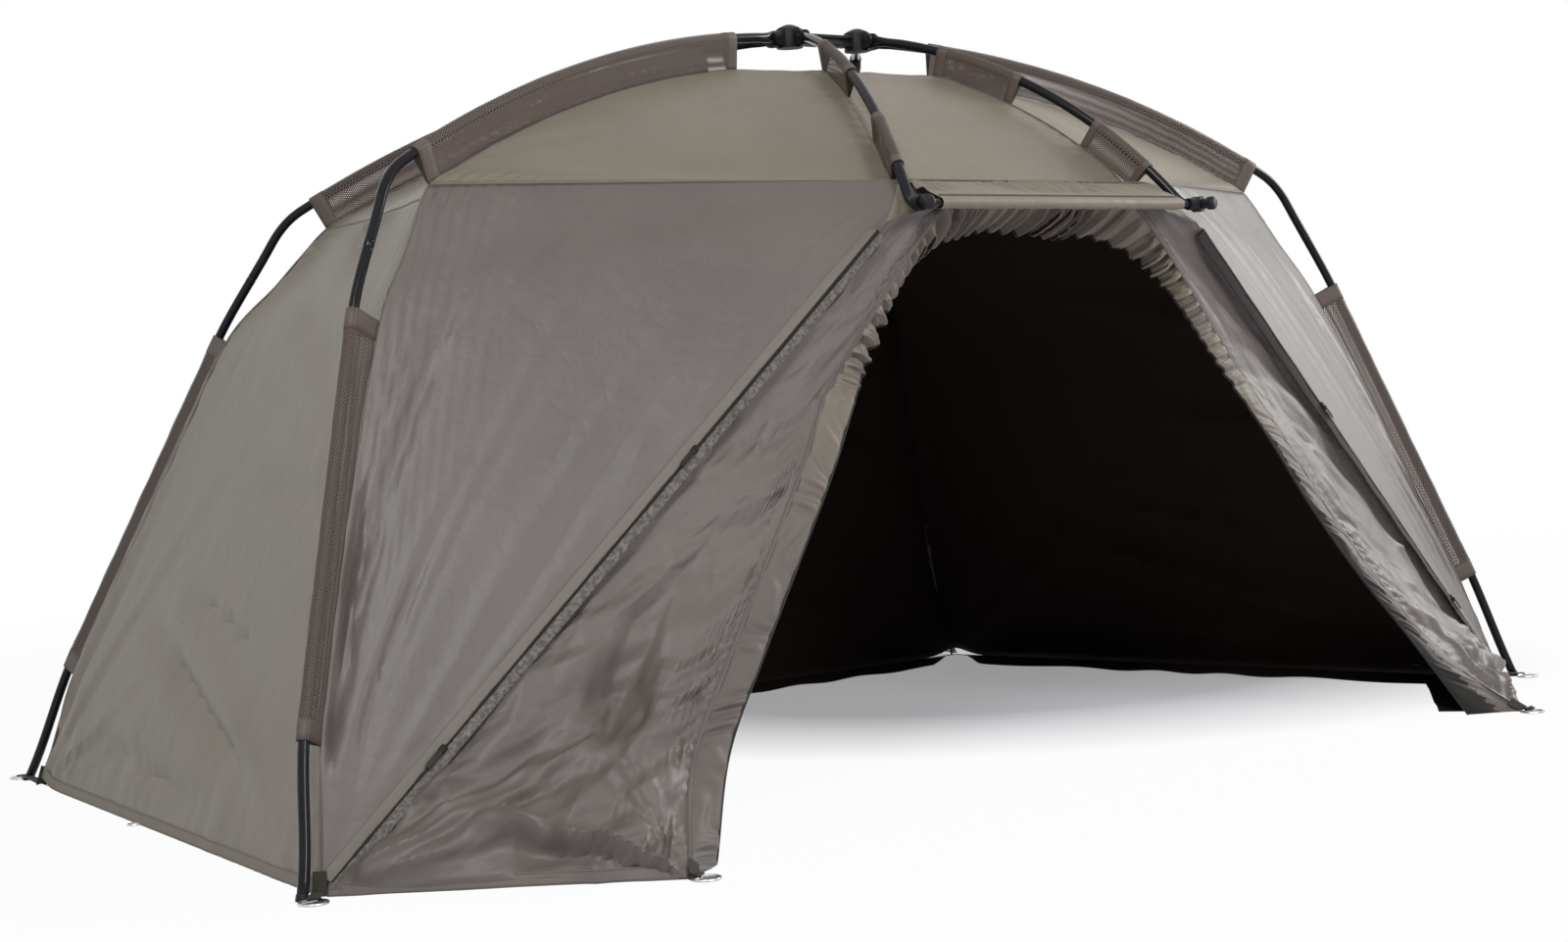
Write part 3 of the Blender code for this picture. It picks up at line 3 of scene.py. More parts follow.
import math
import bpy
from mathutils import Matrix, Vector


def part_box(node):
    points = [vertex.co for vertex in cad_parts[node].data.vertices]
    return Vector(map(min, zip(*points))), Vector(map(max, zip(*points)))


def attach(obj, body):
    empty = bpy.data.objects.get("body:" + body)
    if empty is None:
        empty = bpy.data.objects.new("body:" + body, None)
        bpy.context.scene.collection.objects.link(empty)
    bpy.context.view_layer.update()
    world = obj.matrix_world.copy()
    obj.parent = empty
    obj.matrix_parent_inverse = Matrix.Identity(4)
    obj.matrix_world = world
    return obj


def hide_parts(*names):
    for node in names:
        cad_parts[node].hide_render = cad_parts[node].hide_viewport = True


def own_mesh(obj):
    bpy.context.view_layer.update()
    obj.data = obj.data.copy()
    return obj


bl_info = {
    "name": "Bivvy Tent",
    "version": (1, 0, 0),
    "blender": (4, 5, 0),
    "location": "View3D > Sidebar > Bivvy",
    "description": "Dresses the framed shelter with cloth, net, seams, zips and webbing",
    "category": "Add Mesh",
}

import bmesh
import bpy
import numpy as np
from mathutils import Matrix

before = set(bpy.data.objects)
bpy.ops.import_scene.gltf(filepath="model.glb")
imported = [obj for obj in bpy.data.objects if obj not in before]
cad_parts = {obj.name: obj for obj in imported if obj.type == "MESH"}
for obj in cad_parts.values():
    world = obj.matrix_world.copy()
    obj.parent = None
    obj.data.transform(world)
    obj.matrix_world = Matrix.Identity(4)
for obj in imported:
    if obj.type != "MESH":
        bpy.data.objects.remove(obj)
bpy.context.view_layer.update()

# Bodies that the pieces ride on
ROOT = "hub_and_canopy"
HOOP = "brow_hoop"

# The poles of the right half, in metres
HUB_CENTRE = (0.081, -0.169, 1.300)
PIVOT_RADIUS = 0.036
LEGS = {
    "front": {"foot": (1.394, -0.613, 0.0), "bend": (1.040, -0.345, 1.030), "corner": (1.362, -0.606, 0.0)},
    "rear": {"foot": (1.145, 0.927, 0.0), "bend": (0.714, 0.600, 1.030), "corner": (1.161, 0.825, 0.0)},
}
BOWS = {"front": (0.025, 0.005, 0.0), "rear": (0.021, 0.004, 0.0)}
BOW_REACH = (0.24, 0.22)
ARM_RISE = 0.056
BEND_REACH = 0.045
STUB_LENGTH = 0.115
PEAK = (0.318, -0.739, 0.950)
BROW_RISE = 0.062
BROW_TAIL = (0.014, -0.056, 0.0)
BROW_BEND_REACH = 0.018
CLAMP_ALONG = 0.029
LOWER_SLEEVE = (0.210, 0.820)
WEB = 0.055
LOWER_WEBS = {"front": (0.032, 0.032, 0.034, 0.038, 0.050), "rear": (0.050, 0.055, 0.055, 0.055, 0.055)}
BROW_WEB = 0.045
ARM_SHARES = (0.12, 0.23, 0.34, 0.45, 0.56, 0.67, 0.76, 0.85, 0.93)
BROW_SHARES = ((0.20, 0.325, 0.45), (0.685, 0.78, 0.872))
BROW_BARE_SHARE = 0.57
RIDGE_SPANS = 6

# Cloth edges of the right half
CROWN = (0.075, -0.169, 1.235)
BROW_CORNER_X = 0.290
HEM_WEB = (0.092, 0.044)
ZIP_TOP = (0.362, -0.728, 0.924)
FRILL_END = (0.205, -0.718, 0.9625)
DOOR = {"width": 0.878, "height": 0.919, "foot_y": -0.877, "top_y": -0.630}
DOOR_SHARES = (
    (1.000, 0.00, 0.000), (0.910, 0.24, 0.155), (0.798, 0.38, 0.294), (0.687, 0.48, 0.437),
    (0.580, 0.55, 0.587), (0.469, 0.68, 0.745), (0.376, 0.77, 0.871), (0.300, 0.87, 0.944),
    (0.220, 0.95, 0.981), (0.110, 0.99, 0.997), (0.000, 1.00, 1.000),
)
FRILL_OFFSET = (0.055, 0.012, 0.0)
FLARE = {"height": 0.170, "offset": (0.035, -0.074, 0.0)}
SKIRT_INSET = 0.0067
UP = np.array((0.0, 0.0, 1.0))
HEART = np.array((0.0, -0.10, 0.35))

# How finely surfaces are divided
RIDGE_STEPS = 10
HEM_STEPS = 84
REAR_STEPS = 104
YOKE_ROW = 60
ZIP_STEPS = 130
INFILL_ROWS = 240
ROOF_FRONT_STEPS = 60
DOOR_STEPS = 1200
FRILL_ROWS = 20
INFILL_STEPS = 120
EDGE_STEPS = 96
JOIN_POINTS = 24
BROW_POINTS = 60
GUSSET_POINTS = (9, 181)
POLE_SIDES = 28
WIRE_SIDES = 5

# Share of the door's edge where the frill's seam turns in
FRILL_TURN = 0.60

# Small sizes, in metres
SLEEVE_GAP = 0.0022
TUBE_WALL = 0.0012
FOOT_HEIGHT = 0.008
NECK_STEP = 0.0014
BROW_LOOP = 0.0088
COIL_PITCH = 0.0030
COIL_HALF = 0.0030
COIL_WIRE = 0.0006

# The studio: the lamps' names, places and sizes, how the floor brightens outwards, and the fitted camera
AIM = (0.0, -0.2, 0.5)
LAMPS = (("Key", (4.8, -1.6, 2.6), 2.6), ("Front", (-0.5, -6.0, 2.8), 1.6),
         ("Left", (-3.9, -3.5, 4.3), 1.8), ("Back", (-4.2, 4.2, 1.9), 2.6))
FLOOR_SHIFT = (-0.9, -0.5, 0.0)
FLOOR_REACH = 40
FLOOR_DEPTH = 0.0006
FLOOR_GLOW = 0.30
FLOOR_RINGS = ((0.70, 1.30, 0.66), (2.4, 4.5, 0.04))
CAMERA_PLACE = (-3.063, -3.785, 0.672)
CAMERA_LENS = 59.04
CAMERA_TURN = (0.67887821, -0.03287059, -0.05215669)


def prop(kind, name, text, default, **more):
    return kind(name=name, description=text, default=default, **more)


def length(name, text, default):
    return prop(bpy.props.FloatProperty, name, text, default, min=0.0, precision=4, subtype="DISTANCE",
                unit="LENGTH")


def colour(name, text, default):
    return prop(bpy.props.FloatVectorProperty, name, text, default, size=3, min=0.0, max=1.0, subtype="COLOR")


def power(name, text, default):
    return prop(bpy.props.FloatProperty, name, text, default, min=0.0)


class BivvySizes(bpy.types.PropertyGroup):
    pole_diameter: length("Pole", "Outer diameter of every pole", 0.017)
    cloth_thickness: length("Cloth", "Thickness of the canopy cloth", 0.0012)
    seam_width: length("Seam", "Width of a felled seam", 0.009)
    hem_width: length("Hem", "Height of the turned hem", 0.020)
    tape_width: length("Zip tape", "Width of a zip's tape on each side of the coil", 0.013)
    webbing_width: length("Webbing", "Width of the corner webbing", 0.020)
    pleat_depth: length("Pleats", "Depth of the pleats in the door frill", 0.0115)
    pleat_pitch: length("Pleat pitch", "Distance between two pleats at the top of the door", 0.030)
    crumple_depth: length("Crumples", "Depth of the crumples in the door panels", 0.0085)
    skirt_width: length("Skirt", "Width of the flap on the ground", 0.150)


class BivvyColours(bpy.types.PropertyGroup):
    roof: colour("Roof", "Cloth of the roof and walls", (0.228, 0.199, 0.155))
    panel: colour("Side panels", "Shinier cloth beside the door", (0.150, 0.133, 0.120))
    infill: colour("Door panels", "Crumpled cloth round the door", (0.152, 0.134, 0.120))
    # Low down the frill fades to the door panels' darker colour: painted shade.
    frill: colour("Frill", "Gathered cloth round the door", (0.260, 0.230, 0.180))
    # The edge colour is the elastic's own dark colour, and also painted shade on the frill low down on the
    # right.
    edge: colour("Turned edge", "Dark turned edge of the frill", (0.017, 0.016, 0.014))
    lining: colour("Lining", "Dark inner face of the cloth", (0.018, 0.011, 0.008))
    net: colour("Net", "Net of the pole sleeves", (0.125, 0.096, 0.080))
    pole: colour("Poles", "Gloss coat of the poles", (0.008, 0.008, 0.010))
    moulding: colour("Mouldings", "Black moulded fittings", (0.009, 0.009, 0.010))
    webbing: colour("Webbing", "Corner straps and zip tapes", (0.020, 0.018, 0.014))
    thread: colour("Thread", "Stitching", (0.060, 0.052, 0.038))
    metal: colour("Metal", "Peg discs and rings", (0.62, 0.62, 0.63))
    # The floor's lavender tint is painted shade: the colour of the shade inside the shelter.
    floor: colour("Floor", "Studio floor", (0.80, 0.75, 0.90))


class BivvyStudio(bpy.types.PropertyGroup):
    key: power("Key", "Power of the soft light on the right in watts", 175.0)
    front: power("Front", "Power of the soft light in front in watts", 95.0)
    left: power("Left", "Power of the soft light on the left in watts", 165.0)
    back: power("Back", "Power of the soft light behind on the left in watts", 12.0)
    sky: power("Sky", "Strength of the even light from all round", 0.06)


# Arrays


def unit(v):
    v = np.asarray(v, float)
    return v / np.maximum(np.linalg.norm(v, axis=-1, keepdims=True), 1e-12)


def level(v):
    return unit(np.asarray(v, float) * (1, 1, 0))


def square_to(v, axis):
    """The part of v at right angles to axis, as unit vectors, row by row."""
    v, axis = np.asarray(v, float), np.asarray(axis, float)
    return unit(v - axis * np.sum(v * axis, axis=-1, keepdims=True))


def mirrored(points, side):
    return np.asarray(points, float) * (side, 1, 1)


def tangents(path):
    """Unit directions of a path: central differences of its points."""
    return unit(np.gradient(np.asarray(path, float), axis=0))


def spline(points, at):
    """Catmull-Rom curve through points, at shares of their index: a cubic blend of the four nearest points."""
    points = np.asarray(points, float)
    padded = np.vstack((2 * points[0] - points[1], points, 2 * points[-1] - points[-2]))
    at = np.clip(np.asarray(at, float), 0, len(points) - 1 - 1e-9)
    i = at.astype(int)
    t = (at - i)[:, None]
    a, b, c, d = (padded[i + k] for k in range(4))
    return 0.5 * (2 * b + (c - a) * t + (2 * a - 5 * b + 4 * c - d) * t ** 2 + (3 * b - a - 3 * c + d) * t ** 3)


def run_of(path):
    """Distance along a path at each of its points."""
    return np.concatenate(([0.0], np.cumsum(np.linalg.norm(np.diff(path, axis=0), axis=1))))


def sampled(values, run, at):
    """Rows of values known at distances run, read off at other distances."""
    return np.stack([np.interp(at, run, values[:, k]) for k in range(3)], axis=-1)


def evenly(path, count):
    """The same path with count points at equal distances."""
    run = run_of(path)
    return sampled(path, run, np.linspace(0, run[-1], count))


def at_run(path, distance):
    return sampled(path, run_of(path), distance)


def line(a, b, count):
    share = np.linspace(0, 1, count)[:, None]
    return (1 - share) * np.asarray(a, float) + share * np.asarray(b, float)


def smooth(x):
    x = np.clip(x, 0, 1)
    return x * x * (3 - 2 * x)


def coons(bottom, top, left, right):
    """Coons patch: the ruled surfaces between opposite edges added, less the bilinear one of the corners."""
    v = np.linspace(0, 1, len(left))[:, None, None]
    u = np.linspace(0, 1, len(bottom))[None, :, None]
    up = (1 - v) * bottom[None] + v * top[None]
    over = (1 - u) * left[:, None] + u * right[:, None]
    corners = (1 - v) * ((1 - u) * bottom[0] + u * bottom[-1]) + v * ((1 - u) * top[0] + u * top[-1])
    return up + over - corners


def grid_normals(grid):
    """Unit normals of a grid: the cross product of its differences both ways."""
    return unit(np.cross(np.gradient(grid, axis=1), np.gradient(grid, axis=0)))


def blurred(field, reach):
    """Mean over a square window of a grid, from running sums down the columns and along the rows."""
    for axis in (0, 1):
        pads = [(reach + 1, reach) if k == axis else (0, 0) for k in range(3)]
        total = np.cumsum(np.pad(field, pads, mode="edge"), axis=axis)
        width = 2 * reach + 1
        upper = np.take(total, np.arange(width, total.shape[axis]), axis=axis)
        lower = np.take(total, np.arange(0, total.shape[axis] - width), axis=axis)
        field = (upper - lower) / width
    return field


def outward(grid):
    """The normals, evened out over a few steps of the grid and turned away from the shelter's heart."""
    n = unit(blurred(grid_normals(grid), 9))
    side = np.sum(n * (grid - HEART), axis=2)
    return n * (1 if side.sum() > 0 else -1)


def edge_distance(grid):
    """Distance of each point from the left, right, bottom and top edges, along the grid's rows and columns."""
    across = np.linalg.norm(np.diff(grid, axis=1), axis=2)
    along = np.linalg.norm(np.diff(grid, axis=0), axis=2)
    left = np.pad(np.cumsum(across, axis=1), ((0, 0), (1, 0)))
    low = np.pad(np.cumsum(along, axis=0), ((1, 0), (0, 0)))
    return left, left[:, -1:] - left, low, low[-1:] - low


def nearest_edge(grid):
    return np.minimum.reduce(edge_distance(grid))


def moved(grid, height):
    return grid + height[..., None] * outward(grid)


# Poles, and the seams under them


def leg_lines(place):
    leg = {k: np.array(v) for k, v in LEGS[place].items()}
    hub = np.array(HUB_CENTRE)
    out = level(leg["bend"] - hub)
    pivot = hub + PIVOT_RADIUS * out
    down = unit(leg["foot"] - leg["bend"])
    leg.update(out=out, pivot=pivot, down=down, joint=leg["bend"] + STUB_LENGTH * down)
    leg["web"] = square_to(level(leg["corner"] - leg["foot"]), down)
    leg["bow"] = np.array(BOWS[place])
    return leg


def bowed(points, leg):
    """A leg under load stands out from its line: a smooth step near the ground and one below the bend."""
    low, high = BOW_REACH
    share = smooth(points[..., 2] / low) * smooth((leg["bend"][2] - points[..., 2]) / high)
    return points + share[..., None] * leg["bow"]


def arch(start, end, rise, share):
    """Points of an arm that arches over its chord: the chord plus a parabola in an upright plane."""
    share = np.atleast_1d(share)[:, None]
    chord = end - start
    return start + share * chord + 4 * rise * share * (1 - share) * square_to(UP, unit(chord))


def pole_at(leg, height):
    height = np.atleast_1d(height)[:, None]
    return bowed(leg["bend"] + (leg["bend"][2] - height) / -leg["down"][2] * leg["down"], leg)


def lower_webs(place, count):
    """Web lengths of a lower sleeve, from its foot up: in front they are narrow, and wider towards the top."""
    webs = LOWER_WEBS[place]
    return np.interp(np.linspace(0, 1, count), np.linspace(0, 1, len(webs)), webs)


def hanging(points):
    """Directions in which webs hang from a path: straight down, made square to the path."""
    return square_to(np.broadcast_to(-UP, points.shape), tangents(points))


def ridge(place):
    """Seam of one leg from the hem to the crown, smooth through the ends of the sleeves' webs."""
    leg = leg_lines(place)
    lower = pole_at(leg, np.linspace(*LOWER_SLEEVE, RIDGE_SPANS - 2))
    lower = lower + lower_webs(place, RIDGE_SPANS - 2)[:, None] * leg["web"]
    arm = arch(leg["pivot"], leg["bend"], ARM_RISE, ARM_SHARES)
    upper = (arm + WEB * hanging(arm))[::-1]
    middle = 0.5 * (lower[-1] + upper[0])
    stations = np.vstack((leg["corner"], lower, middle, upper, CROWN))
    return spline(stations, np.arange((len(stations) - 1) * RIDGE_STEPS + 1) / RIDGE_STEPS)


def brow_pivot():
    return np.array(HUB_CENTRE) + (0, -PIVOT_RADIUS, 0)


def brow_frames(shares):
    fine = arch(brow_pivot(), np.array(PEAK), BROW_RISE, np.linspace(0, 1, BROW_POINTS))
    webs = hanging(fine)
    at = np.asarray(shares, float) * (BROW_POINTS - 1)
    return spline(fine, at), unit(spline(webs, at))


def bar_line():
    tail = np.array(BROW_TAIL)
    centre = np.array(PEAK) + CLAMP_ALONG * unit(tail)
    return centre * (0, 1, 1)


def hem_direction():
    web, rise = HEM_WEB
    return unit((0, math.sqrt(web ** 2 - rise ** 2), rise))


def brow_corner():
    return bar_line() + HEM_WEB[0] * hem_direction() + np.array((BROW_CORNER_X, 0, 0))


def brow_ridge(count):
    points, webs = brow_frames((*BROW_SHARES[0], BROW_BARE_SHARE, *BROW_SHARES[1]))
    stations = np.vstack((brow_corner(), (points + BROW_WEB * webs)[::-1], CROWN))
    return spline(stations, np.linspace(0, len(stations) - 1, count))


def door_edge(count):
    """Free edge of the door, from its foot up to the middle of its top."""
    shares = np.array(DOOR_SHARES)
    table = np.stack((shares[:, 0] * DOOR["width"],
                      DOOR["foot_y"] + shares[:, 1] * (DOOR["top_y"] - DOOR["foot_y"]),
                      shares[:, 2] * DOOR["height"]), axis=1)
    return evenly(spline(table, np.linspace(0, len(table) - 1, 4 * count)), count)


def frill_seam(count):
    """Seam of the frill: beside the door's edge, drawn out to the peg at its foot, and on under the brow."""
    edge = door_edge(EDGE_STEPS + 1)
    flare = np.clip(1 - edge[:, 2:] / FLARE["height"], 0, 1) ** 2
    beside = edge + FRILL_OFFSET + flare * FLARE["offset"]
    end = np.array(FRILL_END)
    turn = int(FRILL_TURN * EDGE_STEPS)
    middle = end * (0, 1, 1)
    join = spline(np.array([beside[turn - 4], beside[turn], end, middle]), np.linspace(1, 2, JOIN_POINTS))
    return evenly(np.vstack((beside[:turn], join)), count), line(end, middle, JOIN_POINTS)


def panels():
    """Plain grids of the right half's cloth. Neighbours share the points of their seam."""
    front, rear = ridge("front"), ridge("rear")
    shoulder = RIDGE_SPANS * RIDGE_STEPS
    crown = np.array(CROWN)
    zip_line = line(front[0], ZIP_TOP, ZIP_STEPS + 1)
    corner = brow_corner()
    roof_seam = line(front[shoulder], corner, ZIP_STEPS + 1)
    short = line(ZIP_TOP, corner, shoulder + 1)
    brow = brow_ridge(len(front) - shoulder)
    side_seam, _ = frill_seam(INFILL_ROWS + 1)
    hem = line(front[0], rear[0], HEM_STEPS + 1)
    result = {
        "wall": coons(hem, np.repeat(crown[None], HEM_STEPS + 1, 0), front, rear),
        "side": coons(zip_line, roof_seam, front[:shoulder + 1], short),
        "roof": coons(roof_seam, np.repeat(crown[None], ZIP_STEPS + 1, 0), front[shoulder:], brow),
        "infill": coons(line(front[0], side_seam[0], INFILL_STEPS + 1),
                        line(ZIP_TOP, side_seam[-1], INFILL_STEPS + 1),
                        line(front[0], ZIP_TOP, INFILL_ROWS + 1), side_seam),
    }
    left_rear, left_brow = mirrored(rear, -1), mirrored(brow, -1)
    result["rear"] = coons(line(rear[0], left_rear[0], REAR_STEPS + 1),
                           line(rear[-1], left_rear[-1], REAR_STEPS + 1), rear, left_rear)
    result["brow"] = coons(line(left_brow[0], brow[0], ROOF_FRONT_STEPS + 1),
                           line(left_brow[-1], brow[-1], ROOF_FRONT_STEPS + 1), left_brow, brow)
    return result


# Wrinkles


def sagged(grid, depth):
    """Cloth pulled in between its seams: the product of two sines across and along, inwards."""
    rows, columns = grid.shape[:2]
    v, u = np.meshgrid(np.linspace(0, 1, rows), np.linspace(0, 1, columns), indexing="ij")
    return moved(grid, -depth * np.sin(math.pi * u) * np.sin(math.pi * v ** 0.9))


def folds(grid, seed, count, depth, long, wide, slant=None, spread=math.pi, margin=0.02):
    """Crumples: a sum of ridges, each a bell across and a wider bell along, at random places and angles."""
    rng = np.random.default_rng(seed)
    left, _, low, _ = edge_distance(grid)
    x, y = left - left.mean(), low - low.mean()
    height = np.zeros(x.shape)
    for _ in range(count):
        cx, cy = rng.uniform(x.min(), x.max()), rng.uniform(y.min(), y.max())
        angle = (slant if slant is not None else 0) + rng.uniform(-spread, spread) / 2
        ls, ws = long * rng.uniform(0.5, 1.5), wide * rng.uniform(0.6, 1.5)
        along = (x - cx) * math.cos(angle) + (y - cy) * math.sin(angle)
        off = -(x - cx) * math.sin(angle) + (y - cy) * math.cos(angle)
        off = off + 0.15 * ls * np.sin(along / ls * 1.3 + rng.uniform(0, 6))
        bell = np.exp(-(along / ls) ** 2)
        crest = 1 / (1 + (off / ws) ** 2) - 0.45 * np.exp(-((off - 1.6 * ws) / (1.6 * ws)) ** 2)
        height += rng.choice((-1, 1)) * rng.uniform(0.4, 1.0) * bell * crest
    fade = smooth(nearest_edge(grid) / margin)
    return moved(grid, depth * height * fade)


def crumple(grid, seed, count, depth, size, aspect=3.0, slant=0.0, spread=math.pi, margin=0.03, where=1.0):
    """Flat facets that meet in sharp creases: a sum of tents, each a V across its crease, a bell along it."""
    rng = np.random.default_rng(seed)
    left, _, low, _ = edge_distance(grid)
    height = np.zeros(left.shape)
    for _ in range(count):
        cx, cy = rng.uniform(left.min(), left.max()), rng.uniform(low.min(), low.max())
        angle = slant + rng.uniform(-spread, spread) / 2
        long = size * rng.uniform(0.5, 1.6)
        wide, other = (long / aspect * rng.uniform(0.5, 1.5) for _ in range(2))
        along = (left - cx) * math.cos(angle) + (low - cy) * math.sin(angle)
        off = -(left - cx) * math.sin(angle) + (low - cy) * math.cos(angle)
        off = off + 0.06 * long * np.sin(2.2 * along / long + rng.uniform(0, 6))
        share = np.abs(off) / np.where(off > 0, wide, other)
        tent = np.maximum(0, 1 - np.sqrt(share ** 2 + 0.004))
        height += rng.choice((-1, 1)) * rng.uniform(0.5, 1.0) * tent * np.exp(-(along / long) ** 2)
    fade = smooth(nearest_edge(grid) / margin)
    return moved(grid, depth * height * fade * where)


def fans(grid, seed, centre, depth, reach, count):
    """Folds that fan out from a corner where cloth is pulled: bells of the angle round it."""
    rng = np.random.default_rng(seed)
    left, right, low, _ = edge_distance(grid)
    across = right if centre == "right" else left
    angle = np.arctan2(across, low + 1e-6) / (math.pi / 2)
    away = np.hypot(across, low)
    height = np.zeros(angle.shape)
    for _ in range(count):
        place, width = rng.uniform(0.03, 0.97), rng.uniform(0.022, 0.060)
        off = (angle - place - 0.03 * np.sin(away * rng.uniform(4, 9))) / width
        long = reach * rng.uniform(0.6, 1.4)
        bell = np.exp(-off ** 2) - 0.6 * np.exp(-((off - 1.7) / 1.3) ** 2)
        height += rng.uniform(0.5, 1.0) * bell * np.exp(-(away / long) ** 3)
    rise = np.minimum(away / (0.35 * reach), 1)
    fade = smooth(nearest_edge(grid) / 0.012)
    return moved(grid, depth * height * rise * fade)


def dents(grid, marks):
    """Drag folds: a soft valley and a lower ridge above it, along each line of marks."""
    left, _, low, _ = edge_distance(grid)
    height = np.zeros(left.shape)
    for x0, y0, x1, y1, wide, depth in marks:
        run = np.array((x1 - x0, y1 - y0))
        long = np.linalg.norm(run)
        along = ((left - x0) * run[0] + (low - y0) * run[1]) / long ** 2
        off = ((low - y0) * run[0] - (left - x0) * run[1]) / long / wide
        bell = np.exp(-off ** 2) - 0.5 * np.exp(-((off - 1.7) / 1.4) ** 2)
        height += depth * bell * smooth(along / 0.3) * smooth((1 - along) / 0.4)
    return moved(grid, -height)


def gathers(grid, seed, distance, run, depth, pitch, reach):
    """Long fine pleats that start at a seam and fade with distance from it: a wandering sine along the seam."""
    rng = np.random.default_rng(seed)
    wander = sum(rng.uniform(0.4, 1.0) * np.sin(run * f + rng.uniform(0, 6)) for f in (5.0, 11.0, 23.0))
    wave = np.sin(2 * math.pi * run / pitch + 1.6 * wander) * (0.6 + 0.4 * np.sin(run * 13 + rng.uniform(0, 6)))
    start = smooth(distance / (0.12 * reach))
    fade = smooth(nearest_edge(grid) / 0.02)
    return moved(grid, depth * wave * start * np.exp(-distance / reach) * (distance > 0) * fade)


def puckers(grid, seed, edges, depth, pitch, reach):
    """Small ripples square to a seam: a wandering sine along it that dies away from it."""
    rng = np.random.default_rng(seed)
    distances = edge_distance(grid)
    left, _, low, _ = distances
    height = np.zeros(left.shape)
    for edge in edges:
        d = distances[edge]
        s = low if edge in (0, 1) else left
        phase = 2 * math.pi * s / pitch + 1.7 * np.sin(s * rng.uniform(9, 14)) + rng.uniform(0, 6)
        strength = 0.6 + 0.4 * np.sin(s * rng.uniform(5, 8) + rng.uniform(0, 6))
        height += strength * np.sin(phase) * (d / reach) * np.exp(1 - d / reach)
    fade = smooth(np.minimum.reduce(distances) / (0.4 * reach))
    return moved(grid, depth * height * fade)


# Meshes


def grid_faces(rows, columns, start=0, wrap=False):
    """Quads of a grid of points numbered row by row, the last column joined to the first if wrap."""
    i, j = np.meshgrid(np.arange(rows - 1), np.arange(columns if wrap else columns - 1), indexing="ij")
    a = start + i * columns + j
    b = start + i * columns + (j + 1) % columns
    return np.stack((a, b, b + columns, a + columns), axis=-1).reshape(-1, 4)


def metric_uv(grid):
    """UV in metres: distance along the rows and along the columns."""
    left, _, low, _ = edge_distance(grid)
    return np.stack((left, low), axis=-1)


def surface(name, grids, materials, outside=True, wrap=False):
    """One mesh from several grids, with the points that they share made one. Faces turn away from the heart."""
    points, faces, uv = [], [], []
    start = 0
    for grid in grids:
        rows, columns = grid.shape[:2]
        quads = grid_faces(rows, columns, start, wrap)
        if outside and np.sum(grid_normals(grid) * (grid - HEART)) < 0:
            quads = quads[:, ::-1]
        points.append(grid.reshape(-1, 3))
        uv.append(metric_uv(grid).reshape(-1, 2))
        faces.append(quads)
        start += rows * columns
    points, faces, uv = np.vstack(points), np.vstack(faces), np.vstack(uv)
    _, first, merged = np.unique(np.round(points, 6), axis=0, return_index=True, return_inverse=True)
    return mesh_object(name, points[first], merged.reshape(-1)[faces], uv[faces], materials)


def mesh_object(name, points, faces, corner_uv, materials):
    """A smooth mesh object. Quads with two equal corners become triangles."""
    keep = faces != np.roll(faces, -1, axis=1)
    sizes = keep.sum(axis=1)
    good = sizes > 2
    faces, keep, sizes, corner_uv = faces[good], keep[good], sizes[good], corner_uv[good]
    loops = faces[keep]
    mesh = bpy.data.meshes.new(name)
    mesh.vertices.add(len(points))
    mesh.vertices.foreach_set("co", np.asarray(points, np.float32).ravel())
    mesh.loops.add(len(loops))
    mesh.loops.foreach_set("vertex_index", loops.astype(np.int32))
    mesh.polygons.add(len(sizes))
    mesh.polygons.foreach_set("loop_start", np.concatenate(([0], np.cumsum(sizes)[:-1])).astype(np.int32))
    mesh.uv_layers.new(name="Cut").uv.foreach_set("vector", corner_uv[keep].astype(np.float32).ravel())
    for m in materials:
        mesh.materials.append(m)
    mesh.update(calc_edges=True)
    mesh.validate()
    mesh.shade_smooth()
    thing = bpy.data.objects.new(name, mesh)
    bpy.context.scene.collection.objects.link(thing)
    return thing


def closed_tube(name, sections, look):
    """Closed sections in order, skinned and capped: the sections form a grid whose columns wrap round."""
    rows, columns = sections.shape[:2]
    quads = grid_faces(rows, columns, 0, True)
    run = run_of(sections.mean(axis=1))
    girth = run_of(sections[rows // 2])
    corner = np.empty((*quads.shape, 2))
    column = quads % columns
    row = quads // columns
    turn = girth[column]
    turn[:, 1:3] = np.where(column[:, 1:3] == 0, girth[-1] + girth[1], turn[:, 1:3])
    corner[..., 0], corner[..., 1] = turn, run[row]
    centres = np.vstack((sections[0].mean(axis=0), sections[-1].mean(axis=0)))
    points = np.vstack((sections.reshape(-1, 3), centres))
    ring = np.arange(columns)
    nxt = (ring + 1) % columns
    first, last = rows * columns, rows * columns + 1
    caps = np.vstack((np.stack((nxt, ring, np.full(columns, first), np.full(columns, first)), 1),
                      np.stack((ring + (rows - 1) * columns, nxt + (rows - 1) * columns,
                                np.full(columns, last), np.full(columns, last)), 1)))
    faces = np.vstack((quads, caps))
    uv = np.vstack((corner, np.zeros((len(caps), 4, 2))))
    centre = sections[0].mean(axis=0)
    across = sections[0, 0] - centre
    spin = np.cross(across, sections[0, columns // 4] - centre)
    if np.dot(spin, sections[1].mean(axis=0) - centre) < 0:
        faces, uv = faces[:, ::-1], uv[:, ::-1]
    return mesh_object(name, points, faces, uv, finishes(look))


def thickened(thing, thickness, lining=False, offset=-1.0):
    step = thing.modifiers.new("Thickness", "SOLIDIFY")
    step.thickness = thickness
    step.offset = offset
    step.use_even_offset = False
    if lining:
        step.material_offset = 1
        step.material_offset_rim = 0


def one_sided_area(thing):
    """Area of a sheet before it gets its thickness."""
    mesh = thing.data
    areas = np.empty(len(mesh.polygons))
    mesh.polygons.foreach_get("area", areas)
    return float(areas.sum())


def declare_sheet(thing):
    """Works out the area of a sheet before it gets its thickness; the result is not used."""
    area = one_sided_area(thing)


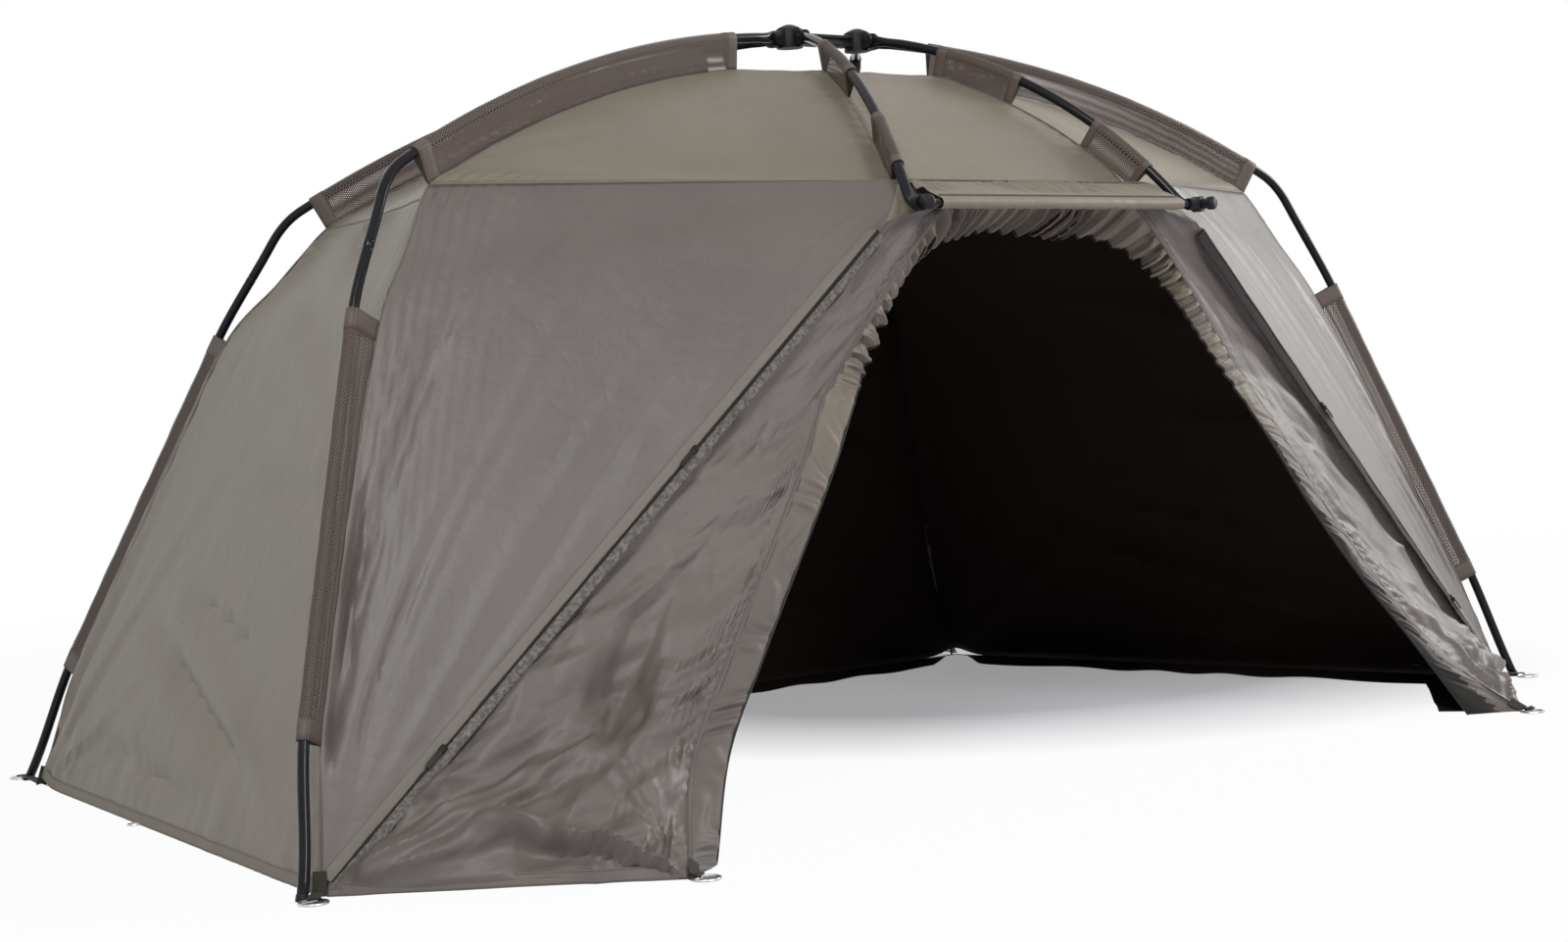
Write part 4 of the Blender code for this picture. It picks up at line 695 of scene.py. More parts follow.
def tube_sections(path, radius, sides, flat=None):
    """Round sections square to a path, turned as little as the path allows."""
    t = tangents(path)
    across = square_to(np.broadcast_to((0.13, 0.41, 0.90), path.shape) if flat is None
                       else np.broadcast_to(flat, path.shape), t)
    rise = np.cross(t, across)
    a = np.linspace(0, 2 * math.pi, sides, endpoint=False)
    radius = np.broadcast_to(radius, len(path))[:, None, None]
    return (path[:, None] + radius * (np.cos(a)[None, :, None] * across[:, None]
                                      + np.sin(a)[None, :, None] * rise[:, None]))


def strap_sections(path, across, width, thickness, corner=0.35):
    """Flat sections with rounded edges along a path: superellipses of the strap's width and thickness."""
    t = tangents(path)
    across = square_to(np.broadcast_to(across, path.shape), t)
    rise = np.cross(across, t)
    a = np.linspace(0, 2 * math.pi, 16, endpoint=False)
    x = np.sign(np.cos(a)) * np.abs(np.cos(a)) ** corner
    y = np.sign(np.sin(a)) * np.abs(np.sin(a)) ** (2 * corner)
    width = np.broadcast_to(width, len(path))[:, None, None]
    return path[:, None] + 0.5 * (width * x[None, :, None] * across[:, None]
                                  + thickness * y[None, :, None] * rise[:, None])


# Shader groups


def socket(group, name, kind, way, value=None):
    item = group.interface.new_socket(name=name, in_out=way, socket_type=f"NodeSocket{kind}")
    if value is not None:
        item.default_value = value


def shade(tone, share=1.0):
    """A tone made darker or lighter, as a colour with alpha."""
    return (*(min(1.0, v * share) for v in tone), 1.0)


class Graph:
    """A small helper that adds nodes and links to one tree."""

    def __init__(self, tree):
        self.tree = tree

    def node(self, kind, **settings):
        made = self.tree.nodes.new(f"ShaderNode{kind}")
        for key, value in settings.items():
            setattr(made, key, value)
        return made

    def feed(self, target, value):
        if isinstance(value, bpy.types.NodeSocket):
            self.tree.links.new(value, target)
        else:
            target.default_value = value

    def math(self, operation, a, b=None):
        made = self.node("Math", operation=operation)
        for k, value in enumerate((a, b)):
            if value is not None:
                self.feed(made.inputs[k], value)
        return made.outputs[0]

    def vector(self, operation, a, b=None, scale=None):
        made = self.node("VectorMath", operation=operation)
        self.feed(made.inputs[0], a)
        if b is not None:
            self.feed(made.inputs[1], b)
        if scale is not None:
            self.feed(made.inputs[3], scale)
        return made.outputs[0]

    def noise(self, vector, scale, detail=3.0, roughness=0.5):
        made = self.node("TexNoise", noise_dimensions="3D")
        self.feed(made.inputs["Vector"], vector)
        self.feed(made.inputs["Scale"], scale)
        made.inputs["Detail"].default_value = detail
        made.inputs["Roughness"].default_value = roughness
        return made.outputs["Fac"]

    def ramp(self, value, low, high):
        made = self.node("MapRange", clamp=True)
        self.feed(made.inputs["Value"], value)
        self.feed(made.inputs["From Min"], low)
        self.feed(made.inputs["From Max"], high)
        return made.outputs["Result"]

    def mix(self, share, a, b):
        made = self.node("Mix", data_type="RGBA")
        self.feed(made.inputs["Factor"], share)
        for key, value in (("A", a), ("B", b)):
            target = [s for s in made.inputs if s.name == key and s.type == "RGBA"][0]
            self.feed(target, value)
        return [s for s in made.outputs if s.type == "RGBA"][0]

    def group(self, tree, **values):
        made = self.node("Group")
        made.node_tree = tree
        for key, value in values.items():
            self.feed(made.inputs[key.replace("_", " ")], value)
        return made.outputs


def new_group(name, inputs, outputs):
    tree = bpy.data.node_groups.new(name, "ShaderNodeTree")
    for label, kind, value in inputs:
        socket(tree, label, kind, "INPUT", value)
    for label, kind in outputs:
        socket(tree, label, kind, "OUTPUT")
    given = tree.nodes.new("NodeGroupInput").outputs
    out = tree.nodes.new("NodeGroupOutput").inputs
    return tree, Graph(tree), given, out


def weave_group():
    """Plain weave: two crossed rows of threads from sines of the cloth's own UV, in threads per metre."""
    tree, g, given, out = new_group(
        "Plain weave", [("Vector", "Vector", None), ("Threads", "Float", 2500.0)], [("Height", "Float")])
    parts = g.node("SeparateXYZ")
    g.feed(parts.inputs[0], g.vector("SCALE", given["Vector"], scale=given["Threads"]))
    one = g.math("SINE", g.math("MULTIPLY", parts.outputs[0], math.pi))
    two = g.math("SINE", g.math("MULTIPLY", parts.outputs[1], math.pi))
    g.feed(out["Height"], g.math("MULTIPLY", one, two))
    return tree


def crease_group():
    """Fine creases of coated cloth: the thin dark valleys of stretched noise, in two sizes."""
    tree, g, given, out = new_group(
        "Cloth creases", [("Vector", "Vector", None), ("Scale", "Float", 9.0)],
        [("Height", "Float"), ("Tone", "Float")])
    warp = g.node("TexNoise")
    g.feed(warp.inputs["Vector"], given["Vector"])
    warp.inputs["Scale"].default_value = 4.0
    bent = g.vector("ADD", given["Vector"], g.vector("SCALE", warp.outputs["Color"], scale=0.12))
    big = g.noise(bent, given["Scale"], 2.0, 0.5)
    small = g.noise(bent, g.math("MULTIPLY", given["Scale"], 3.1), 4.0, 0.55)
    ridge_big = g.math("ABSOLUTE", g.math("SUBTRACT", big, 0.5))
    ridge_small = g.math("ABSOLUTE", g.math("SUBTRACT", small, 0.5))
    high = g.math("ADD", g.math("MULTIPLY", g.ramp(ridge_big, 0.0, 0.16), 0.7),
                  g.math("MULTIPLY", g.ramp(ridge_small, 0.0, 0.12), 0.3))
    g.feed(out["Height"], high)
    g.feed(out["Tone"], g.noise(given["Vector"], 3.0, 5.0, 0.6))
    return tree


def stitch_group():
    """Rows of stitches along a strip: dashes along V, in rows at set distances from the middle of U."""
    tree, g, given, out = new_group(
        "Stitch rows", [("Vector", "Vector", None), ("Middle", "Float", 0.0), ("Row", "Float", 0.0028),
                        ("Stitch", "Float", 0.0042)], [("Mask", "Float")])
    parts = g.node("SeparateXYZ")
    g.feed(parts.inputs[0], given["Vector"])
    off = g.math("ABSOLUTE", g.math("SUBTRACT", parts.outputs[0], given["Middle"]))
    row = g.math("LESS_THAN", g.math("ABSOLUTE", g.math("SUBTRACT", off, given["Row"])), 0.0008)
    dash = g.math("FRACT", g.math("DIVIDE", parts.outputs[1], given["Stitch"]))
    g.feed(out["Mask"], g.math("MULTIPLY", row, g.math("LESS_THAN", dash, 0.72)))
    return tree


def net_group():
    """Net: round holes on a staggered lattice of the sleeve's own UV."""
    tree, g, given, out = new_group(
        "Net holes", [("Vector", "Vector", None), ("Pitch", "Float", 0.0042), ("Hole", "Float", 0.22)],
        [("Solid", "Float"), ("Height", "Float")])
    scaled = g.vector("SCALE", given["Vector"], scale=g.math("DIVIDE", 1.0, given["Pitch"]))
    parts = g.node("SeparateXYZ")
    g.feed(parts.inputs[0], scaled)
    near = None
    for shift in (0.0, 0.5):
        x = g.math("SUBTRACT", g.math("FRACT", g.math("ADD", parts.outputs[0], shift)), 0.5)
        row = g.math("ADD", g.math("MULTIPLY", parts.outputs[1], 0.6), shift)
        y = g.math("SUBTRACT", g.math("FRACT", row), 0.5)
        d = g.math("SQRT", g.math("ADD", g.math("MULTIPLY", x, x), g.math("MULTIPLY", y, y)))
        near = d if near is None else g.math("MINIMUM", near, d)
    g.feed(out["Solid"], g.math("GREATER_THAN", near, given["Hole"]))
    g.feed(out["Height"], g.ramp(near, given["Hole"], 0.5))
    return tree


# Cloths: title, colour, roughness, depth and scale of the creases, specular level, colour near the ground
# (painted shade where it differs)
CLOTHS = {
    "roof": ("Roof cloth", "roof", 0.46, 0.0016, 6.0, 0.42, None),
    "panel": ("Side panel cloth", "panel", 0.42, 0.0014, 7.0, 0.36, None),
    "infill": ("Door panel cloth", "infill", 0.46, 0.0016, 7.0, 0.34, None),
    "lining": ("Dark lining", "lining", 0.75, 0.0016, 6.0, 0.2, None),
    # Low down the frill fades to the infill colour: painted shade.
    "frill": ("Frill cloth", "frill", 0.55, 0.0012, 9.0, 0.22, "infill"),
    # The edge cloth serves the dark elastic and the painted shade on the frill's lower right.
    "turned": ("Turned edge", "edge", 0.60, 0.0012, 9.0, 0.25, None),
    "skirt": ("Skirt cloth", "lining", 0.6, 0.002, 10.0, 0.5, None),
}

# Strips with two rows of stitches: title, colour, share of it, distance of a row from the middle, the middle
BANDS = {
    "net_edge": ("Net binding", "net", 0.85, 0.0035, 0.004),
    "seam": ("Felled seam", "roof", 0.90, 0.0026, 0.0045),
    "hem": ("Turned hem", "roof", 0.95, 0.0075, 0.010),
    "door_hem": ("Door hem", "infill", 0.95, 0.0075, 0.010),
    "dark_seam": ("Panel seam", "panel", 0.82, 0.0026, 0.0045),
}

# Hard finishes: title, colour, roughness, metallic, specular level, the smear's scale and detail, the two
# shares of the colour, the least roughness and what the smear adds to it
HARD = {
    "pole": ("Gloss pole", "pole", 0.12, 0.0, 0.17, 30.0, 4.0, (1.0, 1.6), 0.09, 0.12),
    "moulding": ("Black moulding", "moulding", 0.42, 0.0, 0.16, 60.0, 3.0, (1.0, 1.8), 0.34, 0.2),
    "metal": ("Pressed metal", "metal", 0.3, 1.0, 0.5, 120.0, 4.0, (0.7, 1.0), 0.22, 0.25),
}


class Looks:
    """Materials by name, each made once from the panel's colours."""

    def __init__(self, colours):
        self.c = colours
        self.made = {}
        self.weave = weave_group()
        self.creases = crease_group()
        self.stitches = stitch_group()
        self.net_holes = net_group()

    def start(self, name, roughness, metallic=0.0, **more):
        m = bpy.data.materials.new(name)
        m.use_nodes = True
        g = Graph(m.node_tree)
        shader = m.node_tree.nodes["Principled BSDF"]
        shader.inputs["Roughness"].default_value = roughness
        shader.inputs["Metallic"].default_value = metallic
        for key, value in more.items():
            shader.inputs[key.replace("_", " ")].default_value = value
        return m, g, shader

    def bump(self, g, shader, parts):
        """Chains bumps: each part is a height, its distance in metres and its strength."""
        normal = None
        for height, distance, strength in parts:
            b = g.node("Bump")
            b.inputs["Strength"].default_value = strength
            b.inputs["Distance"].default_value = distance
            g.feed(b.inputs["Height"], height)
            if normal is not None:
                g.feed(b.inputs["Normal"], normal)
            normal = b.outputs["Normal"]
        g.feed(shader.inputs["Normal"], normal)

    def get(self, name):
        if name not in self.made:
            if name in CLOTHS:
                self.made[name] = self.cloth(*CLOTHS[name])
            elif name in BANDS:
                title, colour_name, *more = BANDS[name]
                self.made[name] = self.band(title, getattr(self.c, colour_name), *more)
            elif name in HARD:
                self.made[name] = self.hard(name, *HARD[name])
            else:
                self.made[name] = getattr(self, name)()
        return self.made[name]

    def cloth(self, title, colour_name, roughness, crease, scale, specular, low):
        """Coated cloth: creases, a weave, and low as the colour near the ground where it differs: painted shade
        lower down.
        """
        m, g, shader = self.start(title, roughness, Specular_IOR_Level=specular)
        tone = getattr(self.c, colour_name)
        coords = g.node("TexCoord")
        creases = g.group(self.creases, Vector=coords.outputs["Object"], Scale=scale)
        weave = g.group(self.weave, Vector=coords.outputs["UV"], Threads=1600.0)
        base = g.mix(g.ramp(creases["Tone"], 0.30, 0.72), shade(tone, 0.86), shade(tone, 1.10))
        # Between 0.85 m and 0.35 m the colour fades to low's: painted shade on the lower part.
        if low:
            place = g.node("SeparateXYZ")
            g.feed(place.inputs["Vector"], coords.outputs["Object"])
            base = g.mix(g.ramp(place.outputs["Z"], 0.35, 0.85), shade(getattr(self.c, low)), base)
        g.feed(shader.inputs["Base Color"], base)
        g.feed(shader.inputs["Roughness"],
               g.math("ADD", roughness - 0.05, g.math("MULTIPLY", creases["Tone"], 0.12)))
        self.bump(g, shader, [(creases["Height"], crease, 0.6), (weave["Height"], 0.00004, 0.35)])
        return m

    def net(self):
        m, g, shader = self.start("Sleeve net", 0.7)
        coords = g.node("TexCoord")
        net = g.group(self.net_holes, Vector=coords.outputs["UV"])
        shader.inputs["Base Color"].default_value = shade(self.c.net)
        g.feed(shader.inputs["Alpha"], net["Solid"])
        self.bump(g, shader, [(net["Height"], 0.0006, 0.6)])
        return m

    def band(self, name, tone, share, row, middle):
        """Strip of cloth with two rows of stitches, from its UV."""
        m, g, shader = self.start(name, 0.62)
        coords = g.node("TexCoord")
        stitches = g.group(self.stitches, Vector=coords.outputs["UV"], Row=row, Middle=middle)
        weave = g.group(self.weave, Vector=coords.outputs["UV"], Threads=1300.0)
        base = g.mix(stitches["Mask"], shade(tone, share), shade(self.c.thread))
        g.feed(shader.inputs["Base Color"], base)
        self.bump(g, shader, [(stitches["Mask"], 0.0005, 0.8), (weave["Height"], 0.00006, 0.4)])
        return m

    def welt(self):
        tone = [0.55 * v + 0.40 * w for v, w in zip(self.c.panel, self.c.roof)]
        return self.band("Zip welt", tone, 1.0, 0.0048, 0.0085)

    def crinkled(self):
        """Narrow welt whose cloth is bunched by its stitches: the bunching's light and shade painted into its
        colour as patches of light and dark, which also drive its bump.
        """
        m, g, shader = self.start("Crinkled welt", 0.55)
        coords = g.node("TexCoord")
        crinkles_and_painted_shade = g.noise(coords.outputs["Object"], 150.0, 3.0, 0.6)
        tone = self.c.panel
        share = g.ramp(crinkles_and_painted_shade, 0.38, 0.62)
        g.feed(shader.inputs["Base Color"], g.mix(share, shade(tone, 0.45), shade(tone, 1.30)))
        self.bump(g, shader, [(share, 0.0016, 0.8)])
        return m

    def webbing(self):
        m, g, shader = self.start("Webbing", 0.8)
        coords = g.node("TexCoord")
        weave = g.group(self.weave, Vector=coords.outputs["UV"], Threads=700.0)
        tone = self.c.webbing
        base = g.mix(g.ramp(weave["Height"], -1.0, 1.0), shade(tone, 0.7), shade(tone, 1.5))
        g.feed(shader.inputs["Base Color"], base)
        self.bump(g, shader, [(weave["Height"], 0.0003, 0.7)])
        return m

    def hard(self, name, title, colour_name, roughness, metallic, specular, scale, detail, shares, least, more):
        """Smooth coat, moulding or metal, whose tone and roughness wander with a soft smear."""
        m, g, shader = self.start(title, roughness, metallic, Specular_IOR_Level=specular)
        coords = g.node("TexCoord")
        smear = g.noise(coords.outputs["Object"], scale, detail)
        one, two = (shade(getattr(self.c, colour_name), share) for share in shares)
        g.feed(shader.inputs["Base Color"], g.mix(smear, one, two))
        g.feed(shader.inputs["Roughness"], g.math("ADD", least, g.math("MULTIPLY", smear, more)))
        if name == "moulding":
            self.bump(g, shader, [(g.noise(coords.outputs["Object"], 900.0, 2.0), 0.0002, 0.35)])
        elif name == "metal":
            self.bump(g, shader, [(smear, 0.0002, 0.3)])
        return m


LOOKS = {}


def finishes(*names):
    """The materials of these names, from one set that is made at its first use."""
    if "set" not in LOOKS:
        LOOKS["set"] = Looks(bpy.context.scene.bivvy_colours)
    return tuple(LOOKS["set"].get(name) for name in names)


SIDES = (("left", -1), ("right", 1))


# Pieces


def fitted(thing, nodes=(), body=ROOT, fold=True):
    """Hides the parts that a piece replaces, gives it its own copy of its mesh if fold, and parents it to its
    body.
    """
    if nodes:
        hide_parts(*nodes)
    if fold:
        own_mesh(thing)
    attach(thing, body)


def cloth_piece(name, grids, look, nodes):
    """A stretched sheet of one or more panels, with its dark lining."""
    s = bpy.context.scene.bivvy_sizes
    thing = surface(name, grids, finishes(look, "lining"))
    declare_sheet(thing)
    thickened(thing, s.cloth_thickness, lining=True)
    thing.data.set_sharp_from_angle(angle=math.radians(40))
    fitted(thing, nodes)


class BIVVY_OT_roof(bpy.types.Operator):
    """Roof: Coons patches between the sleeves' seams and a gusset over the door, rippled at the seams"""

    bl_idname = "bivvy.roof"
    bl_label = "Roof"

    def execute(self, context):
        grids = []
        base = panels()
        for _, side in SIDES:
            g = mirrored(base["roof"], side)
            g = folds(g, 11 + side, 10, 0.004, 0.16, 0.035, slant=0.2, spread=1.2, margin=0.06)
            grids.append(puckers(g, 21 + side, (0, 1, 2), 0.0012, 0.030, 0.012))
        bottom = np.array([ZIP_TOP, FRILL_END])
        rows, columns = GUSSET_POINTS
        stations = np.vstack((mirrored(bottom, -1), bottom[::-1]))
        low = sampled(stations, np.arange(4), np.linspace(0, 3, columns))
        top = brow_corner()
        high = line(mirrored(top, -1), top, columns)
        share = np.linspace(0, 1, rows)[:, None, None]
        gusset = (1 - share) * low[None] + share * high[None]
        left, _, up, _ = edge_distance(gusset)
        grids.append(gathers(gusset, 9, up, left, 0.002, 0.03, 0.1))
        g = folds(base["brow"], 5, 8, 0.003, 0.12, 0.03, slant=1.4, spread=0.8, margin=0.05)
        grids.append(puckers(g, 6, (0, 1, 2), 0.0016, 0.024, 0.014))
        cloth_piece("roof_cloth", grids, "roof", ["roof"])
        return {"FINISHED"}


# Drag folds: (from seam, from hem) of both ends, then half width and depth
WALL_FOLDS = ((0.26, 0.10, 1.05, 0.36, 0.030, 0.022), (0.45, 0.05, 1.25, 0.13, 0.022, 0.013),
              (0.32, 0.31, 0.85, 0.42, 0.014, 0.011), (0.10, 0.55, 0.60, 0.62, 0.030, 0.010),
              (0.15, 0.78, 0.70, 0.95, 0.040, 0.014))


def shaped_wall(plain, seed):
    """Pleats hang from the yoke's seam, creases fan out from the hem, and ripples follow the legs' seams."""
    g = sagged(plain, 0.012)
    corner = np.abs(g) - np.array(LEGS["rear"]["corner"])
    lift = np.exp(-(np.linalg.norm(corner, axis=2) / 0.05) ** 2)
    g = g + 0.016 * lift[..., None] * UP
    left, _, low, high = edge_distance(g)
    roll = (1 - np.exp(-left / 0.05)) * np.exp(-left / 0.30) * smooth(low / 0.15) * smooth(high / 0.3)
    g = moved(g, -0.022 * roll * smooth(nearest_edge(g) / 0.01))
    g = dents(g, WALL_FOLDS)
    yoke = low[YOKE_ROW][None] - low
    g = gathers(g, seed, yoke, left, 0.0040, 0.034, 0.13)
    g = gathers(g, seed + 1, low, left + 0.35 * low, 0.0020, 0.075, 0.12)
    g = fans(g, seed + 5, "left", 0.008, 0.45, 6)
    g = fans(g, seed + 6, "right", 0.008, 0.45, 6)
    g = crumple(g, seed + 2, 26, 0.0035, 0.10, 2.5, slant=1.0, spread=2.1, margin=0.05)
    g = folds(g, seed + 3, 10, 0.004, 0.24, 0.04, slant=1.35, spread=0.9, margin=0.08)
    return puckers(g, seed + 4, (0, 1, 2), 0.0014, 0.030, 0.014)


def shaped_infill(plain, side, s):
    """Crumples strongest low down on the left, a recess beside the zip and a belly over the hem."""
    left, right, low, high = edge_distance(plain)
    recess = 0.024 if side < 0 else 0.036
    dip = (1 - np.exp(-left / 0.016)) * np.exp(-left / 0.085) * smooth(low / 0.25) * smooth(high / 0.15)
    belly = smooth(low / 0.085) * np.exp(-low / 0.30) * smooth(left / 0.10) * smooth(right / 0.08)
    g = moved(plain, (0.024 * belly - recess * dip) * smooth(right / 0.04))
    share = (1.0 if side < 0 else 0.45) * (0.40 + 0.60 * smooth((0.80 - low) / 0.45))
    deep = s.crumple_depth
    g = fans(g, 83 + side, "left", 0.8 * deep, 0.45, 7)
    g = fans(g, 85 + side, "right", 1.3 * deep, 0.34, 8)
    g = crumple(g, 81 + side, 34, 2.6 * deep, 0.15, 2.2, slant=1.0, spread=2.4, margin=0.045, where=share)
    g = crumple(g, 91 + side, 80, 2.1 * deep, 0.075, 1.8, slant=0.6, margin=0.03, where=share)
    g = crumple(g, 101 + side, 130, 0.80 * deep, 0.038, 1.6, margin=0.015, where=share)
    return puckers(g, 95 + side, (0, 1), 0.0016, 0.022, 0.012)


class BIVVY_OT_walls(bpy.types.Operator):
    """Side and rear walls: one sheet round the back, drawn in between the legs, with drag folds"""

    bl_idname = "bivvy.walls"
    bl_label = "Walls"

    def execute(self, context):
        base = panels()
        grids = [shaped_wall(mirrored(base["wall"], side), 30 + side) for _, side in SIDES]
        grids.append(shaped_wall(base["rear"], 50))
        cloth_piece("wall_cloth", grids, "roof", ["wall_left", "wall_right", "wall_rear"])
        return {"FINISHED"}


SIDE_FOLDS = ((0.030, 0.15, 0.085, 0.55, 0.014, 0.010), (0.05, 0.08, 0.22, 0.42, 0.018, 0.007),
              (0.045, 0.45, 0.14, 0.85, 0.020, 0.007))


class BIVVY_OT_side_panels(bpy.types.Operator):
    """Panels beside the door: taut triangles with long faint creases"""

    bl_idname = "bivvy.side_panels"
    bl_label = "Side panels"

    def execute(self, context):
        base = panels()
        for label, side in SIDES:
            g = mirrored(base["side"], side)
            left, _, low, _ = edge_distance(g)
            ends = smooth((low - 0.14) / 0.08) * smooth((0.70 - low) / 0.30)
            beside = np.exp(-((left - 0.017) / 0.010) ** 2) * ends
            g = moved(g, -0.017 * beside * smooth(nearest_edge(g) / 0.006))
            g = gathers(g, 61 + side, left, low * 0.12 + left, 0.0020, 0.022, 0.09)
            g = fans(g, 67 + side, "left", 0.0040, 0.62, 7)
            g = dents(g, SIDE_FOLDS)
            g = crumple(g, 65 + side, 22, 0.0028, 0.12, 2.5, slant=0.6, spread=2.0, margin=0.05)
            g = puckers(g, 71 + side, (0, 2, 3), 0.0013, 0.026, 0.012)
            cloth_piece(f"side_cloth_{label}", [g], "panel", [f"side_panel_{label}"])
        return {"FINISHED"}


class BIVVY_OT_door_panels(bpy.types.Operator):
    """Crumpled panels between the zips and the frill: many crossing folds, strongest near the hem"""

    bl_idname = "bivvy.door_panels"
    bl_label = "Door panels"

    def execute(self, context):
        s = context.scene.bivvy_sizes
        base = panels()
        for label, side in SIDES:
            g = shaped_infill(mirrored(base["infill"], side), side, s)
            cloth_piece(f"door_cloth_{label}", [g], "infill", [f"infill_{label}"])
        return {"FINISHED"}


def frill_grid(s):
    """Frill: a band that bulges from its seam and rolls in to the elastic edge, with pleats that cross it."""
    side, over = frill_seam(400)
    half = np.vstack((side, over[1:]))
    half_edge = door_edge(600)
    seam = evenly(np.vstack((mirrored(half, -1), half[::-1][1:])), 2 * DOOR_STEPS + 1)
    edge = evenly(np.vstack((mirrored(half_edge, -1), half_edge[::-1][1:])), 2 * DOOR_STEPS + 1)
    v = np.linspace(0, 1, FRILL_ROWS)[:, None]
    share = 1 - (1 - v) ** 1.15
    grid = (1 - share[..., None]) * seam[None] + share[..., None] * edge[None]
    n = outward(grid)
    s_run = run_of(edge)[None]
    rng = np.random.default_rng(7)
    wander = sum(rng.uniform(0.5, 1.3) * np.sin(s_run * f + rng.uniform(0, 6)) for f in (7.0, 17.0, 31.0, 53.0))
    top = smooth((grid[..., 2] - 0.56) / 0.30)
    phase = 2 * math.pi * s_run / s.pleat_pitch + 1.7 * wander + 1.3 * v
    wave = np.sin(phase)
    crest = np.sign(wave) * np.abs(wave) ** 0.7
    crest = crest + 0.45 * np.sin(2.13 * phase + 0.8) + 0.30 * np.sin(4.4 * phase + 2)
    depth = s.pleat_depth * top * smooth(v * 3.0 + 0.10) * (0.85 + 0.45 * np.sin(s_run * 23))
    slow = 2 * math.pi * s_run / 0.082 + 2.2 * wander + 4.5 * v
    swing = (np.sin(slow) + 0.5 * np.sin(2.7 * slow + 1)) * np.sin(math.pi * v) ** 0.6
    low = (1 - top) * np.where(grid[..., 0] > 0, 0.0016, 0.0034) * swing
    puff = 0.016 * v * (1 - v) ** 0.7
    side_way = tangents(edge)[None] * (0.30 * depth * np.cos(phase + 0.6))[..., None]
    return grid + (puff + low + depth * crest)[..., None] * n + side_way


class BIVVY_OT_frill(bpy.types.Operator):
    """Gathered frill round the door, with its rolled elastic edge"""

    bl_idname = "bivvy.frill"
    bl_label = "Door frill"

    def execute(self, context):
        s = context.scene.bivvy_sizes
        grid = frill_grid(s)
        thing = surface("frill_cloth", [grid], finishes("frill", "lining", "turned"))
        self.turned(thing, grid)
        declare_sheet(thing)
        thickened(thing, 0.8 * s.cloth_thickness, lining=True)
        fitted(thing, ["door_frill"])
        edge = grid[-1][::3]
        fitted(closed_tube("frill_elastic", tube_sections(edge, 0.0026, 8), "turned"))
        return {"FINISHED"}

    def turned(self, thing, grid):
        """Low down on the right a wavy band of the frill's faces by the elastic takes the near-black edge
        colour: painted shade where the frill turns away from the light.
        """
        rows, columns = grid.shape[:2]
        mid = 0.25 * (grid[1:, 1:] + grid[:-1, 1:] + grid[1:, :-1] + grid[:-1, :-1])
        row = np.arange(rows - 1)[:, None] / (rows - 1)
        wave = 0.04 * np.sin(np.arange(columns - 1) * 0.35)[None]
        height = mid[..., 2]
        inner = 0.86 - 0.46 * smooth((0.60 - height) / 0.40) + 1.2 * smooth((height - 0.54) / 0.10)
        # The faces past this wavy row get the edge colour as painted shade; on the left the row is out of
        # reach.
        dark = (row > inner + wave + (mid[..., 0] < 0)).ravel()
        thing.data.polygons.foreach_set("material_index", 2 * dark.astype(np.int32))


def seam_strip(name, path, normal, width, look, lift=0.0005):
    """Felled seam: a low rounded strip that follows a path on the cloth."""
    across = np.cross(tangents(path), normal)
    path = path + lift * unit(normal)
    return closed_tube(name, strap_sections(path, across, width, 0.0014), look)


class BIVVY_OT_seams(bpy.types.Operator):
    """Felled seams over every join of two panels"""

    bl_idname = "bivvy.seams"
    bl_label = "Seams"

    def execute(self, context):
        s = context.scene.bivvy_sizes
        base = panels()
        strips = []
        for label, side in SIDES:
            roof = mirrored(base["roof"], side)
            wall = shaped_wall(mirrored(base["wall"], side), 30 + side)
            half = 0.5 * s.seam_width
            over, out = outward(roof), outward(wall)
            paths = {
                "roof_seam": (roof[0] + half * unit(roof[3] - roof[0]), over[0]),
                "front_seam": (wall[:, 0] + half * unit(wall[:, 3] - wall[:, 0]), out[:, 0]),
                "rear_seam": (wall[:, -1] + half * unit(wall[:, -4] - wall[:, -1]), out[:, -1]),
                "brow_seam": (roof[:, -1], over[:, -1]),
            }
            for key, (path, normal) in paths.items():
                keep = path[:-3] if key != "roof_seam" else path
                strips.append(seam_strip(f"{key}_{label}", keep, normal[:len(keep)], s.seam_width, "seam"))
            strips.append(self.yoke(f"yoke_seam_{label}", wall))
            grid = shaped_infill(mirrored(base["infill"], side), side, s)
            strips.append(seam_strip(f"frill_seam_{label}", grid[:, -1], outward(grid)[:, -1], s.seam_width,
                                     "dark_seam"))
            strips.append(self.hem(f"wall_hem_{label}", wall, s, "hem"))
            strips.append(self.hem(f"door_hem_{label}", grid, s, "door_hem"))
        rear = shaped_wall(base["rear"], 50)
        strips.append(self.yoke("yoke_seam_rear", rear))
        strips.append(self.hem("rear_hem", rear, s, "hem"))
        for strip in strips:
            fitted(strip)
        return {"FINISHED"}

    def yoke(self, name, grid):
        """The narrow seam across a wall at the shoulders' height."""
        return seam_strip(name, grid[YOKE_ROW], outward(grid)[YOKE_ROW], 0.004, "seam")

    def hem(self, name, grid, s, look):
        """Turned hem: a flat band along the panel's foot."""
        up = unit(grid[1] - grid[0])
        path = grid[0] + 0.5 * s.hem_width * up
        return seam_strip(name, path[1:-1], outward(grid)[0][1:-1], s.hem_width, look, 0.0012)


